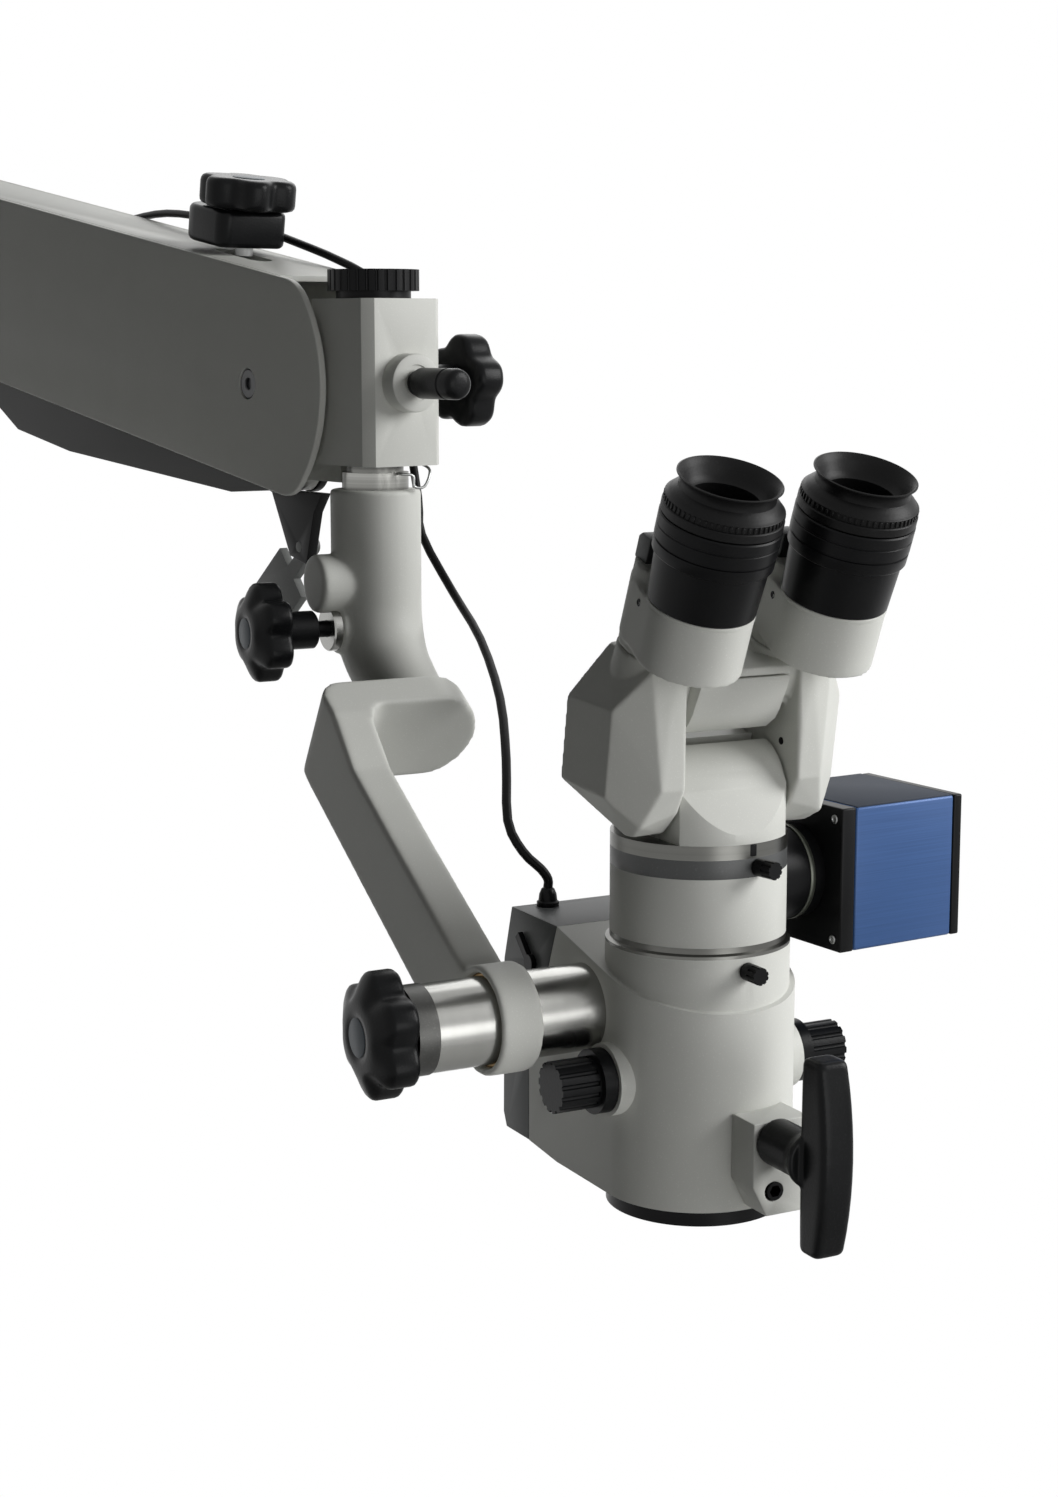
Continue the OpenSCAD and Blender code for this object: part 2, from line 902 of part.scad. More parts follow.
// Outline of the head housing in plan: round front and straight sides.
module head_plan(inset, back) {
    circle(r = head_r - inset);
    translate([-head_r + inset, 0])
        square([2 * (head_r - inset), back]);
}

// Side outline of the head housing up to the slanted seam.
module head_side(inset, past) {
    polygon([[-head_r, housing_bottom + inset], [-head_r, head_front_h - inset], [seam_y, head_top_h - inset],
        [seam_y + past, head_top_h - inset], [seam_foot_y + past, seam_foot_z],
        [seam_foot_y + past, cover_bottom + min(inset, cover_wall)],
        [seam_y, housing_bottom + inset]]);
}

// White head housing with collar, bosses, and bores of the shafts and lens.
boss_knob_r = 16.5;
boss_knob_h = 4;
thumb_low_z = head_top_h - 5;
collar_foot = drum_z + drum_r + head_wall + cut;
module head_housing() {
    color("white")
        difference() {
            union() {
                intersection() {
                    linear_extrude(head_top_h)
                        head_plan(0, seam_foot_y);
                    slab(-head_r, 2 * head_r)
                        head_side(0, 0);
                }
                translate([0, 0, collar_foot])
                    cylinder(r = collar_r, h = collar_top - collar_foot);
                translate([0, 0, drum_z])
                    bar_x(-head_r - boss_knob_h, boss_knob_r, 2 * (head_r + boss_knob_h));
            }
            intersection() {
                linear_extrude(head_top_h)
                    head_plan(head_wall, seam_foot_y + cut);
                slab(-head_r, 2 * head_r)
                    head_side(head_wall, cut);
            }
            translate([0, 0, collar_foot - cut])
                cylinder(r = collar_bore, h = collar_top);
            translate([0, 0, housing_bottom - cut])
                cylinder(r = lens_r + head_wall, h = head_wall + 2 * cut);
            translate([0, 0, drum_z])
                bar_x(-head_r - boss_knob_h - cut, drum_shaft_r + fit, 2 * (head_r + boss_knob_h + cut));
            translate([0, tilt_y, tilt_z])
                bar_x(-head_r - cut, shaft_core_r + fit, head_wall + 2 * cut);
            translate([0, 0, thumb_low_z])
                bar_y(-collar_r - cut, thumb_shank_r + fit, collar_r);
        }
}

// Dark lamp cover behind the slanted seam, with exhaust slots.
vent_n = 5;
vent_w = 4.5;
vent_pitch = 12;
vent_h = 46;
vent_z = 38;
module rear_cover() {
    color("dimgray")
        difference() {
            slab(-head_r, 2 * head_r)
                rear_outline(0);
            slab(-head_r + cover_wall, 2 * (head_r - cover_wall))
                rear_outline(cover_wall);
            for (i = [0:vent_n - 1])
                translate([(i - (vent_n - 1) / 2) * vent_pitch - vent_w / 2, seam_foot_y, vent_z])
                    cube([vent_w, cover_back_y, vent_h]);
            translate([gland_x, gland_y, collar_top - head_r])
                cylinder(r = cable_r + fit, h = head_r + cut);
            translate([0, lever_y, lever_z])
                bar_x(-head_r - cut, lever_pin_r + fit, cover_wall + 2 * cut);
        }
}

module rear_outline(inset) {
    front = inset > 0 ? -cover_back_y : 0;
    intersection() {
        polygon([[seam_foot_y + seam_gap + front, cover_bottom + inset], [seam_foot_y + seam_gap + front, seam_foot_z],
            [seam_y + seam_gap + front, head_top_h - inset], [cover_back_y * 0.916 - inset, head_top_h - inset],
            [cover_back_y * 0.99 - inset, head_top_h * 0.78], [cover_back_y - inset, cover_bottom + cover_foot + inset],
            [cover_back_y * 0.97 - inset, cover_bottom + inset]]);
        square([cover_back_y, head_top_h]);
    }
}
cover_foot = 7;
gland_x = -28;
gland_y = 92;
lever_y = 76;
lever_below = 22.5;
lever_z = head_top_h - lever_below;
lever_pin_r = 2;

// Lamp module: finned heat sink with its lamp and the fan's ring and pin.
sink_w = 60;
sink_z = 72;
sink_y = 62;
sink_t = 4;
sink_base = 38;
fin_n = 8;
fin_t = 1.6;
fin_len = 16;
fan_r = 20;
fan_pin_r = 2;
fan_y = 90;
fan_z = 56;
lamp_r = 12;
module lamp_module() {
    color("silver") {
        translate([-sink_w / 2, sink_y, cover_bottom + cover_wall + head_wall])
            cube([sink_w, sink_t, sink_z]);
        for (i = [0:fin_n - 1])
            translate([-sink_w / 2 + i * (sink_w - fin_t) / (fin_n - 1), sink_y + sink_t, cover_bottom + cover_wall + head_wall])
                cube([fin_t, fin_len, sink_z]);
        translate([0, 0, fan_z])
            bar_y(sink_y - lamp_r / 2, lamp_r, lamp_r / 2);
        translate([-sink_w / 2, sink_y, cover_bottom + cover_wall])
            cube([sink_w, sink_base, head_wall]);
        translate([0, 0, fan_z])
            difference() {
                bar_y(sink_y + sink_t + fin_len, fan_r + 2 * cut + fan_pin_r, fan_t + 2 * gap);
                bar_y(sink_y + sink_t + fin_len - cut, fan_r + cut, fan_t + 2 * gap + 2 * cut);
            }
        translate([0, 0, fan_z])
            bar_y(sink_y + sink_t, fan_pin_r, fin_len + fan_t);
    }
}
fan_t = 12;

// Cooling fan turning on the lamp module's pin.
blade_n = 7;
hub_r = 8;
blade_t = 1.6;
module fan_rotor() {
    color("black")
        translate([0, sink_y + sink_t + fin_len + gap, fan_z])
            difference() {
                union() {
                    bar_y(0, hub_r, fan_t);
                    for (i = [0:blade_n - 1])
                        rotate([0, i * 360 / blade_n, 0])
                            translate([hub_r - cut, fan_t / 2 - blade_t, -blade_t])
                                rotate([blade_pitch, 0, 0])
                                    cube([fan_r - hub_r, blade_t, hub_r]);
                }
                bar_y(-cut, fan_pin_r + fit, fan_t + 2 * cut);
            }
}
blade_pitch = 35;

// Small filter lever on the side of the lamp cover.
filter_len = 16;
filter_w = 4;
filter_t = 2.5;
filter_angle = 45;
module filter_lever() {
    color("black")
        translate([0, lever_y, lever_z]) {
            bar_x(-head_r - gap, lever_pin_r, cover_wall + filter_w);
            rotate([filter_angle, 0, 0])
                slab(-head_r - gap - filter_t, filter_t)
                    union() {
                        circle(r = filter_w);
                        translate([0, -filter_w / 2])
                            square([filter_len, filter_w]);
                    }
        }
}

// Cable gland on the top of the lamp cover.
gland_r = 6;
gland_h = 9;
module cable_gland() {
    color("black")
        translate([gland_x, gland_y, head_top_h])
            union() {
                cylinder(r = gland_r, h = gland_h / 2);
                cylinder(r = gland_r * 0.7, h = gland_h);
            }
}

// Objective ring screwed under the housing.
module objective_ring() {
    color("black")
        difference() {
            cylinder(r = objective_r, h = objective_h);
            translate([0, 0, -cut])
                cylinder(r = lens_r - cut, h = objective_h);
            translate([0, 0, lens_seat])
                cylinder(r = lens_r + fit, h = objective_h);
        }
}
lens_seat = 2.5;
lens_t = 4;

// Objective lens seated in its ring.
module objective_lens() {
    color("lightblue")
        translate([0, 0, lens_seat])
            cylinder(r = lens_r, h = lens_t);
}

// Magnification drum with two pairs of light tunnels, on its shaft.
module mag_drum() {
    color("gray")
        translate([0, 0, drum_z])
            difference() {
                union() {
                    bar_x(-drum_len / 2, drum_r, drum_len);
                    bar_x(-head_r - boss_knob_h - knob_len / 2, drum_shaft_r, 2 * head_r + 2 * boss_knob_h + knob_len);
                }
                for (x = [-path_gap / 2, path_gap / 2])
                    for (turn = [0, 90])
                        rotate([turn, 0, 0])
                            translate([x, 0, -drum_r - cut])
                                cylinder(r = path_r, h = 2 * drum_r + 2 * cut);
            }
}

// Two magnification knobs with a flange and a fluted grip.
grip_flutes = 14;
grip_flute_r = 1.2;
flange_t = 6.5;
module mag_knobs() {
    color("black")
        for (side = [0, 1])
            mirror([side, 0, 0])
                translate([head_r + boss_knob_h + gap, 0, drum_z])
                    difference() {
                        union() {
                            bar_x(0, knob_flange_r, flange_t);
                            bar_x(flange_t, knob_grip_r, knob_len - flange_t);
                        }
                        bar_x(-cut, drum_shaft_r + fit, knob_len / 2 + cut);
                        for (i = [0:grip_flutes - 1])
                            rotate([i * 360 / grip_flutes, 0, 0])
                                translate([0, 0, knob_grip_r])
                                    bar_x(flange_t + cut, grip_flute_r, knob_len);
                    }
}

// Handle block screwed to the front of the housing.
handle_x = [-8, 21];
handle_z = [10, 53];
handle_front = 62;
handle_stem_x = 3.5;
handle_stem_z = 44;
key_r = 4.25;
key_z = 21;
key_depth = 10;
chamfer_b = 14;
module handle_block() {
    color("white")
        difference() {
            translate([0, -handle_front, 0])
                rotate([-90, 0, 0])
                    mirror([0, 1, 0])
                        linear_extrude(handle_front - head_r * 0.6)
                            polygon([[handle_x[0], handle_z[1]], [handle_x[1], handle_z[1]], [handle_x[1], handle_z[0]],
                                [handle_x[0] + chamfer_b / 2, handle_z[0]], [handle_x[0], handle_z[0] + chamfer_b]]);
            cylinder(r = head_r, h = head_front_h);
            translate([handle_stem_x, 0, handle_stem_z])
                bar_y(-handle_front - cut, pin_r + fit, spigot + cut);
            translate([handle_stem_x - cut, 0, key_z])
                bar_y(-handle_front - cut, key_r, key_depth + cut);
        }
}
spigot = 13;

// T handle turning in its block.
grip_top = 90;
grip_shares = [[-0.1, 0], [0.35, 0], [0.45, 0.25], [0.5, 0.5], [0.42, 0.78], [0.2, 1], [-0.35, 1], [-0.5, 0.7],
    [-0.52, 0.45], [-0.45, 0.12]];
grip_depth = 20;
grip_y = -98;
module t_handle() {
    color("black") {
        translate([handle_stem_x, 0, handle_stem_z]) {
            bar_y(-handle_front, pin_r, spigot);
            bar_y(grip_y, stem_r, -grip_y - handle_front - gap);
        }
        translate([0, grip_y, grip_top - grip_h])
            slab(handle_stem_x + 2 * cut - grip_w / 2, grip_w)
                polygon(scaled(grip_shares, grip_depth, grip_h));
    }
}

// Bright grooved ring under the beam splitter.
module groove_ring() {
    color("silver")
        translate([0, 0, collar_top])
            rotate_extrude()
                polygon([[collar_bore, 0], [collar_r, 0], [collar_r, groove_h * 0.3], [splitter_r, groove_h * 0.45],
                    [splitter_r, groove_h], [collar_bore, groove_h]]);
}

// Beam splitter body: hollow drum with the two light paths and the camera port.
module splitter_body() {
    color("white")
        translate([0, 0, splitter_z])
            difference() {
                cylinder(r = splitter_r, h = splitter_h);
                translate([0, 0, head_wall])
                    cylinder(r = collar_bore, h = splitter_h - 2 * head_wall);
                for (x = [-path_gap / 2, path_gap / 2])
                    translate([x, 0, -cut])
                        cylinder(r = path_r, h = splitter_h + 2 * cut);
                rotate(camera_yaw)
                    translate([0, 0, port_z - splitter_z])
                        bar_x(0, path_r, splitter_r + cut);
            }
}
port_share = 0.675;
port_z = splitter_z + splitter_h * port_share;

// Two glass prisms on the floor of the beam splitter.
prism_w = 21;
prism_h = 18;
module splitter_prism() {
    color("lightblue")
        for (x = [-path_gap / 2, path_gap / 2])
            translate([x - prism_w / 2, -prism_w / 2, splitter_z + head_wall])
                cube([prism_w, prism_w, prism_h]);
}

// Camera adapter between the splitter's port and the camera.
module camera_adapter() {
    color("black")
        rotate(camera_yaw)
            difference() {
                translate([0, 0, port_z])
                    bar_x(splitter_r * 0.75, port_r, camera_x - splitter_r * 0.75);
                cylinder(r = splitter_r, h = clamp_z);
                translate([0, 0, clamp_z])
                    cylinder(r = splitter_r + gap, h = head_top_h);
                translate([0, 0, port_z])
                    bar_x(0, path_r, camera_x + cut);
            }
}

// Black front and back plates of the camera with their corner screws.
plate_screw_r = 2.6;
plate_screw_h = 0.8;
screw_inset = 5.5;
module camera_plates() {
    color("black")
        rotate(camera_yaw)
            translate([camera_x, 0, port_z]) {
                difference() {
                    slab(0, camera_front)
                        square(camera_w, center = true);
                    bar_x(-cut, path_r, camera_front + 2 * cut);
                }
                slab(camera_len - camera_back, camera_back)
                    square(camera_w, center = true);
                for (y = [-1, 1])
                    for (z = [-1, 1])
                        for (x = [-plate_screw_h, camera_len])
                            translate([0, y * (camera_w / 2 - screw_inset), z * (camera_w / 2 - screw_inset)])
                                bar_x(x, plate_screw_r, plate_screw_h);
            }
}

// Blue camera case, a square tube between the plates, with its sensor board.
board_t = 2;
module camera_shell() {
    color("blue")
        rotate(camera_yaw)
            translate([camera_x, 0, port_z]) {
                slab(camera_front, camera_len - camera_front - camera_back)
                    difference() {
                        square(camera_w, center = true);
                        square(camera_w - 2 * cover_wall, center = true);
                    }
                slab(camera_front, board_t)
                    difference() {
                        square(camera_w - 2 * cover_wall, center = true);
                        circle(r = path_r);
                    }
            }
}

// Dark clamp ring above the beam splitter.
thumb_turn = 9.4;
module clamp_ring() {
    color("dimgray")
        translate([0, 0, clamp_z])
            difference() {
                cylinder(r = splitter_r, h = clamp_h);
                translate([0, 0, -cut])
                    cylinder(r = collar_bore, h = clamp_h + 2 * cut);
                rotate(thumb_turn)
                    translate([0, 0, clamp_h / 2])
                        bar_y(-splitter_r - cut, thumb_shank_r + fit, splitter_r);
            }
}

// Thumb screw along Y: ribbed head in front of its threaded shank.
thumb_shank_r = 2;
thumb_head_r = 4;
thumb_head_h = 11;
thumb_ribs = 10;
rib_r = 0.5;
module thumb_screw(r) {
    color("black") {
        bar_y(-r - gap, thumb_shank_r, r - collar_bore);
        difference() {
            bar_y(-r - gap - thumb_head_h, thumb_head_r, thumb_head_h);
            for (i = [0:thumb_ribs - 1])
                rotate([0, i * 360 / thumb_ribs, 0])
                    translate([thumb_head_r, 0, 0])
                        bar_y(-r - gap - thumb_head_h - cut, rib_r, thumb_head_h * 0.6, $fn = 12);
        }
    }
}

module lower_thumb_screw() {
    translate([0, 0, thumb_low_z])
        thumb_screw(collar_r);
}

module upper_thumb_screw() {
    rotate(thumb_turn)
        translate([0, 0, clamp_z + clamp_h / 2])
            thumb_screw(splitter_r);
}

// Bright ring on which the binocular turns, with a spigot into the clamp ring.
spigot_h = 5;
module turning_ring() {
    color("silver")
        difference() {
            union() {
                translate([0, 0, turn_z])
                    cylinder(r = splitter_r, h = turn_ring_h);
                translate([0, 0, turn_z - spigot_h])
                    cylinder(r = collar_bore - gap, h = spigot_h);
            }
            translate([0, 0, turn_z - spigot_h - cut])
                cylinder(r = collar_bore - head_wall - gap, h = turn_ring_h + spigot_h + 2 * cut);
        }
}

// White base of the binocular with its slanted face, turning with the ring.
face_slope = 61;
dome_r = 26.5;
face_foot = 4;
module binocular_base() {
    color("white")
        difference() {
            intersection() {
                translate([0, 0, dome_z])
                    cylinder(r = splitter_r, h = incline_h + dome_r);
                slab(-dome_w, 2 * dome_w)
                    intersection() {
                        union() {
                            translate([-incline_y, incline_z])
                                circle(r = dome_r);
                            polygon([[-splitter_r, dome_z], [splitter_r, dome_z], [splitter_r, dome_z + incline_h / 4],
                                [dome_r - 2 * incline_y, incline_z + dome_r * 0.3], [-splitter_r, incline_z]]);
                        }
                        translate([-splitter_r, dome_z])
                            polygon([[0, 0], [2 * splitter_r, 0], [2 * splitter_r, incline_h + dome_r],
                                [(incline_h + dome_r - face_foot) / tan(face_slope), incline_h + dome_r], [0, face_foot]]);
                    }
            }
            translate([0, -incline_y, incline_z])
                bar_x(-dome_w - cut, incline_pin_r + fit, 2 * (dome_w + cut));
            translate([0, 0, dome_z - cut])
                cylinder(r = path_gap, h = incline_h / 2);
        }
}
incline_pin_r = 6;

// Binocular housing: two cheeks and a bridge about the inclination axis, with its pin.
cheek_gap = 1;
cheek_front = 28;
cheek_swing = 38.6;
cheek_back_shares = [[-1, -1.5], [0.5, -1.5], [0.95, -0.5], [0.95, 0.9], [0.3, 2.2], [-1, 2.2]];
bridge_front = 30;
bridge_low = 10;
module binocular_housing() {
    color("white")
        translate([0, -incline_y, incline_z])
            difference() {
                union() {
                    intersection() {
                        union() {
                            for (side = [0, 1])
                                mirror([side, 0, 0])
                                    cheek();
                            difference() {
                                slab(-dome_w - cheek_gap, 2 * (dome_w + cheek_gap))
                                    polygon([[-bridge_front, bridge_low], [bridge_back, bridge_low],
                                        [bridge_back, 2 * cheek_front], [-bridge_front, 2 * cheek_front]]);
                                bar_x(-cheek_w, dome_r + cheek_gap / 2, 2 * cheek_w);
                            }
                        }
                        rotate([tube_lean, 0, 0])
                            translate([-cheek_w, -2 * cheek_w, seat_w - 4 * cheek_w])
                                cube([2 * cheek_w, 4 * cheek_w, 4 * cheek_w]);
                    }
                    bar_x(-dome_w - 2 * cheek_gap, incline_pin_r, 2 * dome_w + 4 * cheek_gap);
                }
                for (side = [0, 1])
                    mirror([side, 0, 0])
                        rotate([tube_lean, 0, 0])
                            translate([eye_gap / 2, turn_back - tube_before, seat_w - pivot_depth])
                                cylinder(r = turn_pin_r + fit, h = pivot_depth + cut);
            }
}
bridge_back = 22;
pivot_depth = 12;
turn_pin_r = 7;

// One cheek: thick slab whose outer corners are cut slantwise.
cheek_top_in = 12;
cheek_low_in = 9;
cheek_heel = 5;
cheek_up = 62;
module cheek() {
    x0 = dome_w + cheek_gap;
    intersection() {
        slab(x0, cheek_w - x0)
            intersection() {
                polygon(scaled(cheek_back_shares, cheek_front, cheek_front));
                union() {
                    circle(r = cheek_swing);
                    translate([-cheek_up, 0])
                        square([2 * cheek_up, cheek_up]);
                }
            }
        translate([0, cheek_up, 0])
            rotate([90, 0, 0])
                linear_extrude(2 * cheek_up)
                    polygon([[x0, -cheek_swing], [cheek_w - cheek_low_in, -cheek_swing + cheek_heel],
                        [cheek_w, -cheek_front * 0.6], [cheek_w, cheek_front], [cheek_w - cheek_top_in, cheek_up * 0.65],
                        [cheek_w - cheek_top_in, cheek_up], [x0, cheek_up]]);
    }
}

// Place of one tube, in the frame of its turning axis.
module at_tube(side) {
    on_tubes()
        mirror([side, 0, 0])
            translate([eye_gap / 2, turn_back - tube_before, seat_w])
                children();
}

// White tube: collar round the light path and prism case about the turning axis.
case_r = 20;
case_h = 35;
tube_wall = 5;
module tube_body(side) {
    color("white")
        at_tube(side)
            difference() {
                union() {
                    translate([0, -turn_back, 0])
                        cylinder(r = tube_r, h = tube_h);
                    cylinder(r = case_r, h = case_h);
                    translate([-case_r, -turn_back * 0.6, 0])
                        cube([2 * case_r, turn_back * 0.6, case_h]);
                    translate([0, 0, -pivot_depth + gap])
                        cylinder(r = turn_pin_r, h = pivot_depth);
                }
                translate([0, -turn_back, tube_wall])
                    cylinder(r = tube_r - tube_wall + fit, h = case_h);
                translate([0, -turn_back, tube_h])
                    cylinder(r = tube_r, h = case_h);
            }
}

module left_tube() {
    tube_body(1);
}

module right_tube() {
    tube_body(0);
}

// Eyepiece barrel that drops into the tube, with its dioptre ring.
barrel_steps = [[0, 0.89], [0.42, 0.9], [0.44, 1], [0.68, 1], [0.69, 0.96]];
eye_bore = 16;
module eyepiece(side) {
    color("black")
        at_tube(side)
            translate([0, -turn_back, tube_h])
                difference() {
                    union() {
                        rotate_extrude()
                            polygon(concat([[0, 0]], barrel_outline(), [[0, ring_top]]));
                        translate([0, 0, tube_wall - tube_h])
                            cylinder(r = tube_r - tube_wall, h = tube_h - tube_wall);
                    }
                    translate([0, 0, eyepiece_len * 0.3])
                        cylinder(r = eye_bore, h = eyepiece_len);
                    translate([0, 0, ring_top - cup_in])
                        cylinder(r = cup_shank_r + fit, h = cup_in + cut);
                }
}
function barrel_outline() = [for (p = barrel_steps) [p[1] * barrel_r, p[0] * eyepiece_len]];
ring_top = eyepiece_len * 0.69;
dioptre_top = eyepiece_len * 0.85;
dioptre_r = 27;
cup_shank_r = 20;
cup_in = 10;

module left_eyepiece() {
    eyepiece(1);
}

module right_eyepiece() {
    eyepiece(0);
}

// Dioptre ring with its rubber eyecup, turning in the barrel.
cup_r = 24.4;
cup_neck_r = 22;
cup_wall = 3;
module eyecup(side) {
    color("black")
        at_tube(side)
            translate([0, -turn_back, tube_h])
                rotate_extrude()
                    polygon([[eye_bore, ring_top - cup_in + gap], [cup_shank_r, ring_top - cup_in + gap],
                        [cup_shank_r, ring_top + gap], [dioptre_r, ring_top + gap], [dioptre_r, dioptre_top],
                        [cup_neck_r, dioptre_top], [cup_neck_r, eyepiece_len - cup_wall],
                        [cup_r, eyepiece_len], [cup_r - cut, eyepiece_len], [eye_bore, dioptre_top]]);
}

module left_eyecup() {
    eyecup(1);
}

module right_eyecup() {
    eyecup(0);
}

// Tube swept along a list of points, with rings square to the route.
cord_sides = 8;
function unit(v) = v / norm(v);
function ring_at(pts, i, first, last) =
    let (a = pts[max(i - 1, 0)], b = pts[min(i + 1, len(pts) - 1)])
    let (t = unit(i == 0 ? first : i == len(pts) - 1 ? last : b - a))
    let (s = unit(cross(t, [0.3, 0.9, 0.1])), n = cross(t, s))
    [for (k = [0:cord_sides - 1])
        pts[i] + cable_r * (cos(k * 360 / cord_sides) * s + sin(k * 360 / cord_sides) * n)];
function smooth(p, n) = [for (i = [0:len(p) - 2], k = [0:n - 1])
    let (a = p[max(i - 1, 0)], b = p[i], c = p[i + 1], d = p[min(i + 2, len(p) - 1)], t = k / n)
    0.5 * (2 * b + (c - a) * t + (2 * a - 5 * b + 4 * c - d) * t * t + (3 * b - a - 3 * c + d) * t * t * t)];
module cord(points, steps, first, last) {
    pts = concat(smooth(points, steps), [points[len(points) - 1]]);
    n = len(pts);
    rings = [for (i = [0:n - 1]) each ring_at(pts, i, first, last)];
    sides = [for (i = [0:n - 2], k = [0:cord_sides - 1])
        [i * cord_sides + k, i * cord_sides + (k + 1) % cord_sides,
            (i + 1) * cord_sides + (k + 1) % cord_sides, (i + 1) * cord_sides + k]];
    start = [for (k = [0:cord_sides - 1]) cord_sides - 1 - k];
    end = [for (k = [0:cord_sides - 1]) (n - 1) * cord_sides + k];
    polyhedron(rings, concat(sides, [start], [end]), convexity = 6);
}

// Cable held along the arm's far cover, from its way in to the first clip.
along_arm = [sin(arm_yaw) * cos(arm_slope), -cos(arm_yaw) * cos(arm_slope), -sin(arm_slope)];
arm_cable_points = [[-88.2, 759.6, 479.3], [-84, 735.5, 475.5], [-75.5, 687, 467.5],
    [-67, 638, 459.5]];
module arm_cable() {
    color("black")
        cord(arm_cable_points, 3, along_arm, along_arm);
}

// Free cable over the arm's edge, behind the block and down to the gland on the lamp cover.
cable_points = [[-67, 638, 459.5], [-64, 618, 459], [-58, 587.5, 463.5], [-54.5, 537.5, 465],
    [-47.5, 487, 460.5], [-37, 429.5, 452], [-30, 391, 443.5], [-20, 352.5, 432.5],
    [-12.5, 331, 422], [-8.5, 315.5, 397], [-5, 302, 350], [-2, 291.5, 305], [-2, 287, 285],
    [5, 264, 256], [0, 220, 235], [-14, 170, 211], [-31, 130, 187], [-42, 107, 162],
    [-38.5, 98, 148], [-31, 93.5, 139.5], [-28, 92, 134.5], [-28, 92, 130.5]];
module cable_drop() {
    color("black")
        cord(cable_points, 3, along_arm, [0, 0, -1]);
}

place() rear_block();
place() mount_spindle();
place() arm_frame();
place() arm_pins();
place() side_covers();
place() top_cover();
place() cover_screws();
place() balance_spring();
place() cable_clips();
place() tension_knob();
place() lower_link();
place() link_pins();
place() front_block();
place() plunger_collar();
place() lock_bracket();
place() index_plunger();
place() block_knob();
place() lock_lever();
place() spindle();
place() spindle_nut();
place() elbow();
place() elbow_knob();
place() swivel_pin();
place() crank_arm();
place() shaft_bush();
place() tilt_shaft();
place() shaft_collar();
place() tilt_knob();
place() head_housing();
place() rear_cover();
place() lamp_module();
place() fan_rotor();
place() filter_lever();
place() cable_gland();
place() objective_ring();
place() objective_lens();
place() mag_drum();
place() mag_knobs();
place() handle_block();
place() t_handle();
place() groove_ring();
place() splitter_body();
place() splitter_prism();
place() camera_adapter();
place() camera_plates();
place() camera_shell();
place() clamp_ring();
place() lower_thumb_screw();
place() upper_thumb_screw();
place() turning_ring();
place() binocular_base();
place() binocular_housing();
place() left_tube();
place() right_tube();
place() left_eyepiece();
place() right_eyepiece();
place() left_eyecup();
place() right_eyecup();
place() arm_cable();
place() cable_drop();
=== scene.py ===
import json
import math
import bmesh
import bpy
from mathutils import Matrix, Vector

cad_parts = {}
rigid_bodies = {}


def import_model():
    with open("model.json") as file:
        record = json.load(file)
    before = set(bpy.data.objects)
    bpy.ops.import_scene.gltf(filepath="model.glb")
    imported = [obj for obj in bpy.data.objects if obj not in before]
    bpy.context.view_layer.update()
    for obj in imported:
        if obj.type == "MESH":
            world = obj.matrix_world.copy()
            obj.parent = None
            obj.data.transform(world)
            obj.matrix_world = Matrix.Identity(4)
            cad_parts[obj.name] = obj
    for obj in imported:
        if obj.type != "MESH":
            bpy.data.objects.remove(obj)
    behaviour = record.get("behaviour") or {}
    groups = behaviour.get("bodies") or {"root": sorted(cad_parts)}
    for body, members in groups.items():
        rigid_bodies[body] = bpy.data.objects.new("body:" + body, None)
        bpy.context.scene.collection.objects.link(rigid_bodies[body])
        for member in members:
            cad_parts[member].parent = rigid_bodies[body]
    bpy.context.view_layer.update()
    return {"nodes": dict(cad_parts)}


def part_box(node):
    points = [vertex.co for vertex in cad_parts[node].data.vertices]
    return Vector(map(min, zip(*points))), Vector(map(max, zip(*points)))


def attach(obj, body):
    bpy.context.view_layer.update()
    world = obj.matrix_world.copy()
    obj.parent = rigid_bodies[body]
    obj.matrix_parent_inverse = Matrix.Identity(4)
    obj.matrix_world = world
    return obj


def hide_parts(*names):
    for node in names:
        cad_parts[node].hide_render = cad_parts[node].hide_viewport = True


for item in list(bpy.data.objects):
    bpy.data.objects.remove(item)

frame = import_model()
nodeObjects = frame["nodes"]
print("stage: frame loaded")

# All settings are in millimetres from the optical axis at the objective's underside.
# The objective ring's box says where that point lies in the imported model.
ringLow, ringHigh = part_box("objective_ring")
headOrigin = Vector(((ringLow.x + ringHigh.x) / 2, (ringLow.y + ringHigh.y) / 2, ringLow.z))
toMetres = Matrix.Translation(headOrigin) @ Matrix.Scale(0.001, 4)


def shift(x, y, z):
    return Matrix.Translation((x, y, z))


def turn(degrees, axis):
    return Matrix.Rotation(math.radians(degrees), 4, axis)


def metres(x, y, z):
    return toMetres @ Vector((x, y, z))


def addObject(name, data):
    item = bpy.data.objects.new(name, data)
    bpy.context.scene.collection.objects.link(item)
    return item


# The same working frames as the castings: block, arm, link, crank and leaning tubes.
places = {"elbowX": -37, "elbowY": 270, "armYaw": 10, "armSlope": 9.2, "armLength": 420,
          "pivotU": 79, "pivotZ": 366, "tiltY": 25, "tiltZ": 90, "crankSlope": 31.5,
          "inclineY": -6, "inclineZ": 212, "tubeLean": 22, "eyeGap": 67, "tubeBack": 24, "tubeV": -19, "elbowW": -10,
          "seatW": 50, "cameraYaw": 5, "portZ": 148}
blockFrame = shift(places["elbowX"], places["elbowY"], 0) @ turn(places["armYaw"], "Z")
armFrame = blockFrame @ shift(0, places["pivotU"], places["pivotZ"]) @ turn(places["armSlope"], "X")
crankFrame = shift(0, places["tiltY"], places["tiltZ"]) @ turn(places["crankSlope"], "X")
leanFrame = shift(0, places["inclineY"], places["inclineZ"]) @ turn(places["tubeLean"], "X")
